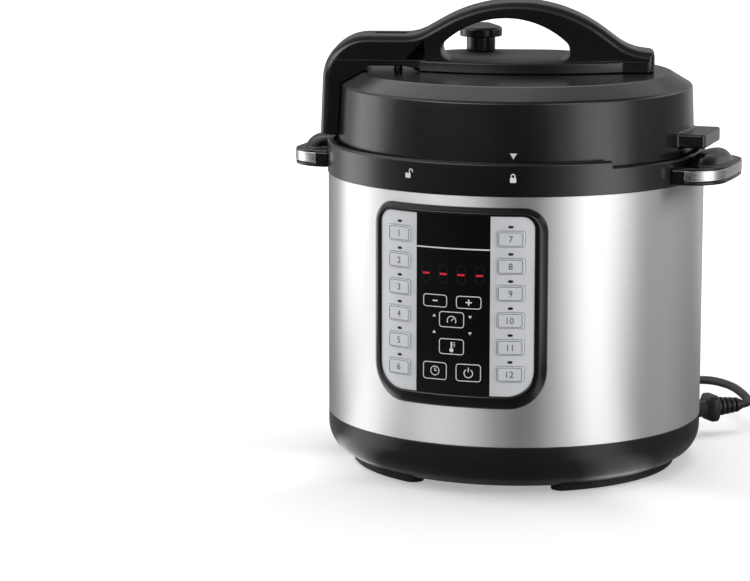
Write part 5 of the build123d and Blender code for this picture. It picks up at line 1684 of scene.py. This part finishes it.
# How bright the studio is round about, as (degrees from the camera to the right, level)
NEAR_BANDS = (
    (-180, 0.1), (-100, 0.25), (-86, 1.3), (-70, 1.1), (-56, 0.2), (0, 0.1), (20, 0.18), (32, 1),
    (42, 1), (54, 0.2), (100, 0.12), (180, 0.1),
)
TABLE_BANDS = (
    (-180, 0.2), (-135, 0.45), (-120, 2.2), (-104, 2.3), (-88, 0.5), (-70, 0.15), (-28, 0.06),
    (0, 0.03), (14, 0.16), (28, 0.6), (44, 2.3), (56, 2.5), (66, 1.5), (77, 0.4), (100, 0.22),
    (130, 0.3), (150, 0.6), (180, 0.2),
)
WALL_BANDS = (
    (-180, 0.2), (-140, 0.4), (-115, 0.9), (-95, 1.6), (-78, 1.8), (-60, 4.2), (-45, 4.4),
    (-30, 3.6), (-18, 1.9), (-8, 0.8), (8, 0.5), (16, 1.1), (24, 2.6), (38, 3), (52, 1.6),
    (62, 0.9), (76, 0.55), (90, 1.05), (105, 1.7), (150, 0.4), (180, 0.2),
)
CEILING_BANDS = ((-180, 1.2), (-120, 1.1), (-60, 0.4), (60, 0.15), (110, 0.2), (150, 0.7), (180, 1.2))
SCREEN_LIFT = 0.001
SCREEN_START = 0.05
SCREEN_NEAR = 0.6
SCREEN_RADIUS = 4.0
SCREEN_SILL = 0.8
SCREEN_HEIGHT = 2.5
SCREEN_END = 0.02
SCREEN_COLUMNS = 180
# Strips of the screen from the table up and over, as (distance, height) of both edges and the bands
SCREEN_STRIPS = (
    ((SCREEN_START, SCREEN_LIFT), (SCREEN_NEAR, SCREEN_LIFT), NEAR_BANDS),
    ((SCREEN_NEAR, SCREEN_LIFT), (SCREEN_RADIUS, SCREEN_LIFT), TABLE_BANDS),
    ((SCREEN_RADIUS, SCREEN_LIFT), (SCREEN_RADIUS, SCREEN_SILL), TABLE_BANDS),
    ((SCREEN_RADIUS, SCREEN_SILL), (SCREEN_RADIUS, SCREEN_HEIGHT), WALL_BANDS),
    ((SCREEN_RADIUS, SCREEN_HEIGHT), (SCREEN_END, SCREEN_HEIGHT), CEILING_BANDS),
)
FLOOR_HALF = 6.0
FLOOR_DROP = 0.2 * MM
# The floor's own glow near the cooker and far from it, as (distance, strength)
FLOOR_GLOW = ((0.3, 0.34), (1.2, 0.85))
# Soft boxes, as (degrees from the camera to the right, distance, height, width and height of the box)
SOFT_BOXES = {
    "left": (-112, 1.6, 0.55, (0.8, 1.1)),
    "right": (55, 1.7, 0.55, (0.45, 1.1)),
    "top": (150, 0.6, 1.9, (1.4, 1.0)),
}
LAMPS_AIM = Vector((0, 0, 0.15))


def screen_level(bands, angle):
    """Brightness of the studio in one direction."""
    for (a, one), (b, two) in zip(bands, bands[1:]):
        if a <= angle <= b:
            return one + (two - one) * (angle - a) / (b - a)
    return bands[-1][1]


def studio_screen():
    """Screens round the set that only reflections see: they give the steel its bands."""
    form = bmesh.new()
    level = form.verts.layers.float.new("level")
    for low, high, bands in SCREEN_STRIPS:
        columns = []
        for i in range(SCREEN_COLUMNS + 1):
            angle = 360 * i / SCREEN_COLUMNS - 180
            turn = math.radians(CAMERA_TURN + angle)
            column = []
            for reach, height in (low, high):
                vert = form.verts.new((reach * math.sin(turn), -reach * math.cos(turn), height))
                vert[level] = screen_level(bands, angle)
                column.append(vert)
            columns.append(column)
        for one, two in zip(columns, columns[1:]):
            form.faces.new((*one, *reversed(two)))
    mesh = meshed("studio_screen", form)
    material = bpy.data.materials.new("studio_screen")
    material.use_nodes = True
    tree = material.node_tree
    tree.nodes.clear()
    brightness = add(tree, "ShaderNodeAttribute", attribute_name="level").outputs["Fac"]
    light = add(tree, "ShaderNodeEmission", {"Strength": brightness})
    add(tree, "ShaderNodeOutputMaterial", {"Surface": light.outputs["Emission"]})
    mesh.materials.append(material)
    screen = in_scene("studio_screen", mesh)
    screen.visible_camera = False
    screen.visible_diffuse = False
    screen.visible_shadow = False
    screen.visible_transmission = False


def seen_directly(tree):
    """1 for rays from the camera, off a shiny surface or through a clear one, else 0."""
    path = add(tree, "ShaderNodeLightPath").outputs
    glossy = calc(tree, "MAXIMUM", path["Is Camera Ray"], path["Is Glossy Ray"])
    return calc(tree, "MAXIMUM", glossy, path["Is Transmission Ray"])


def studio_floor():
    """White acrylic table that shows white but keeps the cooker's shadow."""
    form = bmesh.new()
    bmesh.ops.create_grid(form, x_segments=1, y_segments=1, size=FLOOR_HALF)
    bmesh.ops.translate(form, vec=(0, 0, -FLOOR_DROP), verts=form.verts)
    mesh = meshed("studio_floor", form)
    material, tree, shader, coords = new_finish(
        "white_table", Base_Color=(0.82, 0.82, 0.82, 1), Roughness=0.35, Specular_IOR_Level=0.3
    )
    reach = add(tree, "ShaderNodeVectorMath", {0: coords}, operation="LENGTH").outputs["Value"]
    (near, low), (far, high) = FLOOR_GLOW
    fade = add(
        tree,
        "ShaderNodeMapRange",
        {"Value": reach, "From Min": near, "From Max": far, "To Min": low, "To Max": high},
        interpolation_type="SMOOTHSTEP",
    )
    strength = calc(tree, "MULTIPLY", fade.outputs["Result"], seen_directly(tree))
    glow = add(tree, "ShaderNodeEmission", {"Strength": strength})
    both = add(tree, "ShaderNodeAddShader", {0: shader.outputs["BSDF"], 1: glow.outputs["Emission"]})
    out = next(n for n in tree.nodes if n.type == "OUTPUT_MATERIAL")
    tree.links.new(both.outputs["Shader"], out.inputs["Surface"])
    mesh.materials.append(material)
    in_scene("studio_floor", mesh)


def studio_world():
    """White all round for what is seen, softer light on matt surfaces."""
    world = bpy.data.worlds.new("studio")
    bpy.context.scene.world = world
    world.use_nodes = True
    tree = world.node_tree
    tree.nodes.clear()
    levels = (bpy.context.scene.cooker_studio.ambient, 1.0)
    ambient, white = (
        add(tree, "ShaderNodeBackground", {"Color": (1, 1, 1, 1), "Strength": level}) for level in levels
    )
    mix = add(
        tree,
        "ShaderNodeMixShader",
        {0: seen_directly(tree), 1: ambient.outputs["Background"], 2: white.outputs["Background"]},
    )
    add(tree, "ShaderNodeOutputWorld", {"Surface": mix.outputs["Shader"]})


def soft_box(name, angle, distance, height, size, power):
    """Broad lamp at an angle from the camera, aimed at the cooker."""
    lamp = bpy.data.lights.new(name, "AREA")
    lamp.shape = "RECTANGLE"
    lamp.size, lamp.size_y = size
    lamp.energy = power
    holder = in_scene(name, lamp)
    holder.visible_glossy = False
    turn = math.radians(CAMERA_TURN + angle)
    holder.location = (distance * math.sin(turn), -distance * math.cos(turn), height)
    holder.rotation_euler = (LAMPS_AIM - holder.location).to_track_quat("-Z", "Y").to_euler()


class COOKER_OT_studio(bpy.types.Operator):
    """Set up the floor, light and camera"""

    bl_idname = "cooker.studio"
    bl_label = "Studio"

    def execute(self, context):
        studio = context.scene.cooker_studio
        studio_world()
        studio_floor()
        studio_screen()
        for side, place in SOFT_BOXES.items():
            soft_box(side + "_box", *place, getattr(studio, side + "_lamp"))
        camera = bpy.data.cameras.new("camera")
        camera.lens = CAMERA_LENS
        camera.sensor_width = 36.0
        holder = in_scene("camera", camera)
        holder.location = CAMERA_AT
        holder.rotation_euler = (math.radians(90 - CAMERA_DIP), 0, math.radians(CAMERA_TURN))
        context.scene.camera = holder
        context.scene.view_settings.view_transform = "Standard"
        return {"FINISHED"}


OPERATORS = (
    COOKER_OT_studio,
    COOKER_OT_mains_lead,
    COOKER_OT_connector,
    COOKER_OT_housing,
    COOKER_OT_side_handles,
    COOKER_OT_inside,
    COOKER_OT_cup,
    COOKER_OT_panel,
    COOKER_OT_display,
    COOKER_OT_keys,
    COOKER_OT_panel_marks,
    COOKER_OT_lid,
    COOKER_OT_valves,
    COOKER_OT_lock_marks,
)


class COOKER_PT_pieces(bpy.types.Panel):
    """Lists the sizes, colours and pieces of the cooker"""

    bl_label = "Pressure Cooker"
    bl_idname = "COOKER_PT_pieces"
    bl_space_type = "VIEW_3D"
    bl_region_type = "UI"
    bl_category = "Cooker"

    def draw(self, context):
        for group in ("cooker_sizes", "cooker_colours", "cooker_studio"):
            holder = getattr(context.scene, group)
            for name in holder.__annotations__:
                self.layout.prop(holder, name)
        for operator in OPERATORS:
            self.layout.operator(operator.bl_idname)


CLASSES = (CookerColours, CookerSizes, CookerStudio, *OPERATORS, COOKER_PT_pieces)


def register():
    for kind in CLASSES:
        bpy.utils.register_class(kind)
    bpy.types.Scene.cooker_colours = bpy.props.PointerProperty(type=CookerColours)
    bpy.types.Scene.cooker_sizes = bpy.props.PointerProperty(type=CookerSizes)
    bpy.types.Scene.cooker_studio = bpy.props.PointerProperty(type=CookerStudio)


def unregister():
    del bpy.types.Scene.cooker_studio
    del bpy.types.Scene.cooker_sizes
    del bpy.types.Scene.cooker_colours
    for kind in reversed(CLASSES):
        bpy.utils.unregister_class(kind)


def main():
    register()
    bpy.ops.cooker.studio()
    bpy.ops.cooker.mains_lead()
    bpy.ops.cooker.connector()
    bpy.ops.cooker.housing()
    bpy.ops.cooker.side_handles()
    bpy.ops.cooker.inside()
    bpy.ops.cooker.cup()
    bpy.ops.cooker.panel()
    bpy.ops.cooker.display()
    bpy.ops.cooker.keys()
    bpy.ops.cooker.panel_marks()
    bpy.ops.cooker.lid()
    bpy.ops.cooker.valves()
    bpy.ops.cooker.lock_marks()


if __name__ == "__main__":
    main()
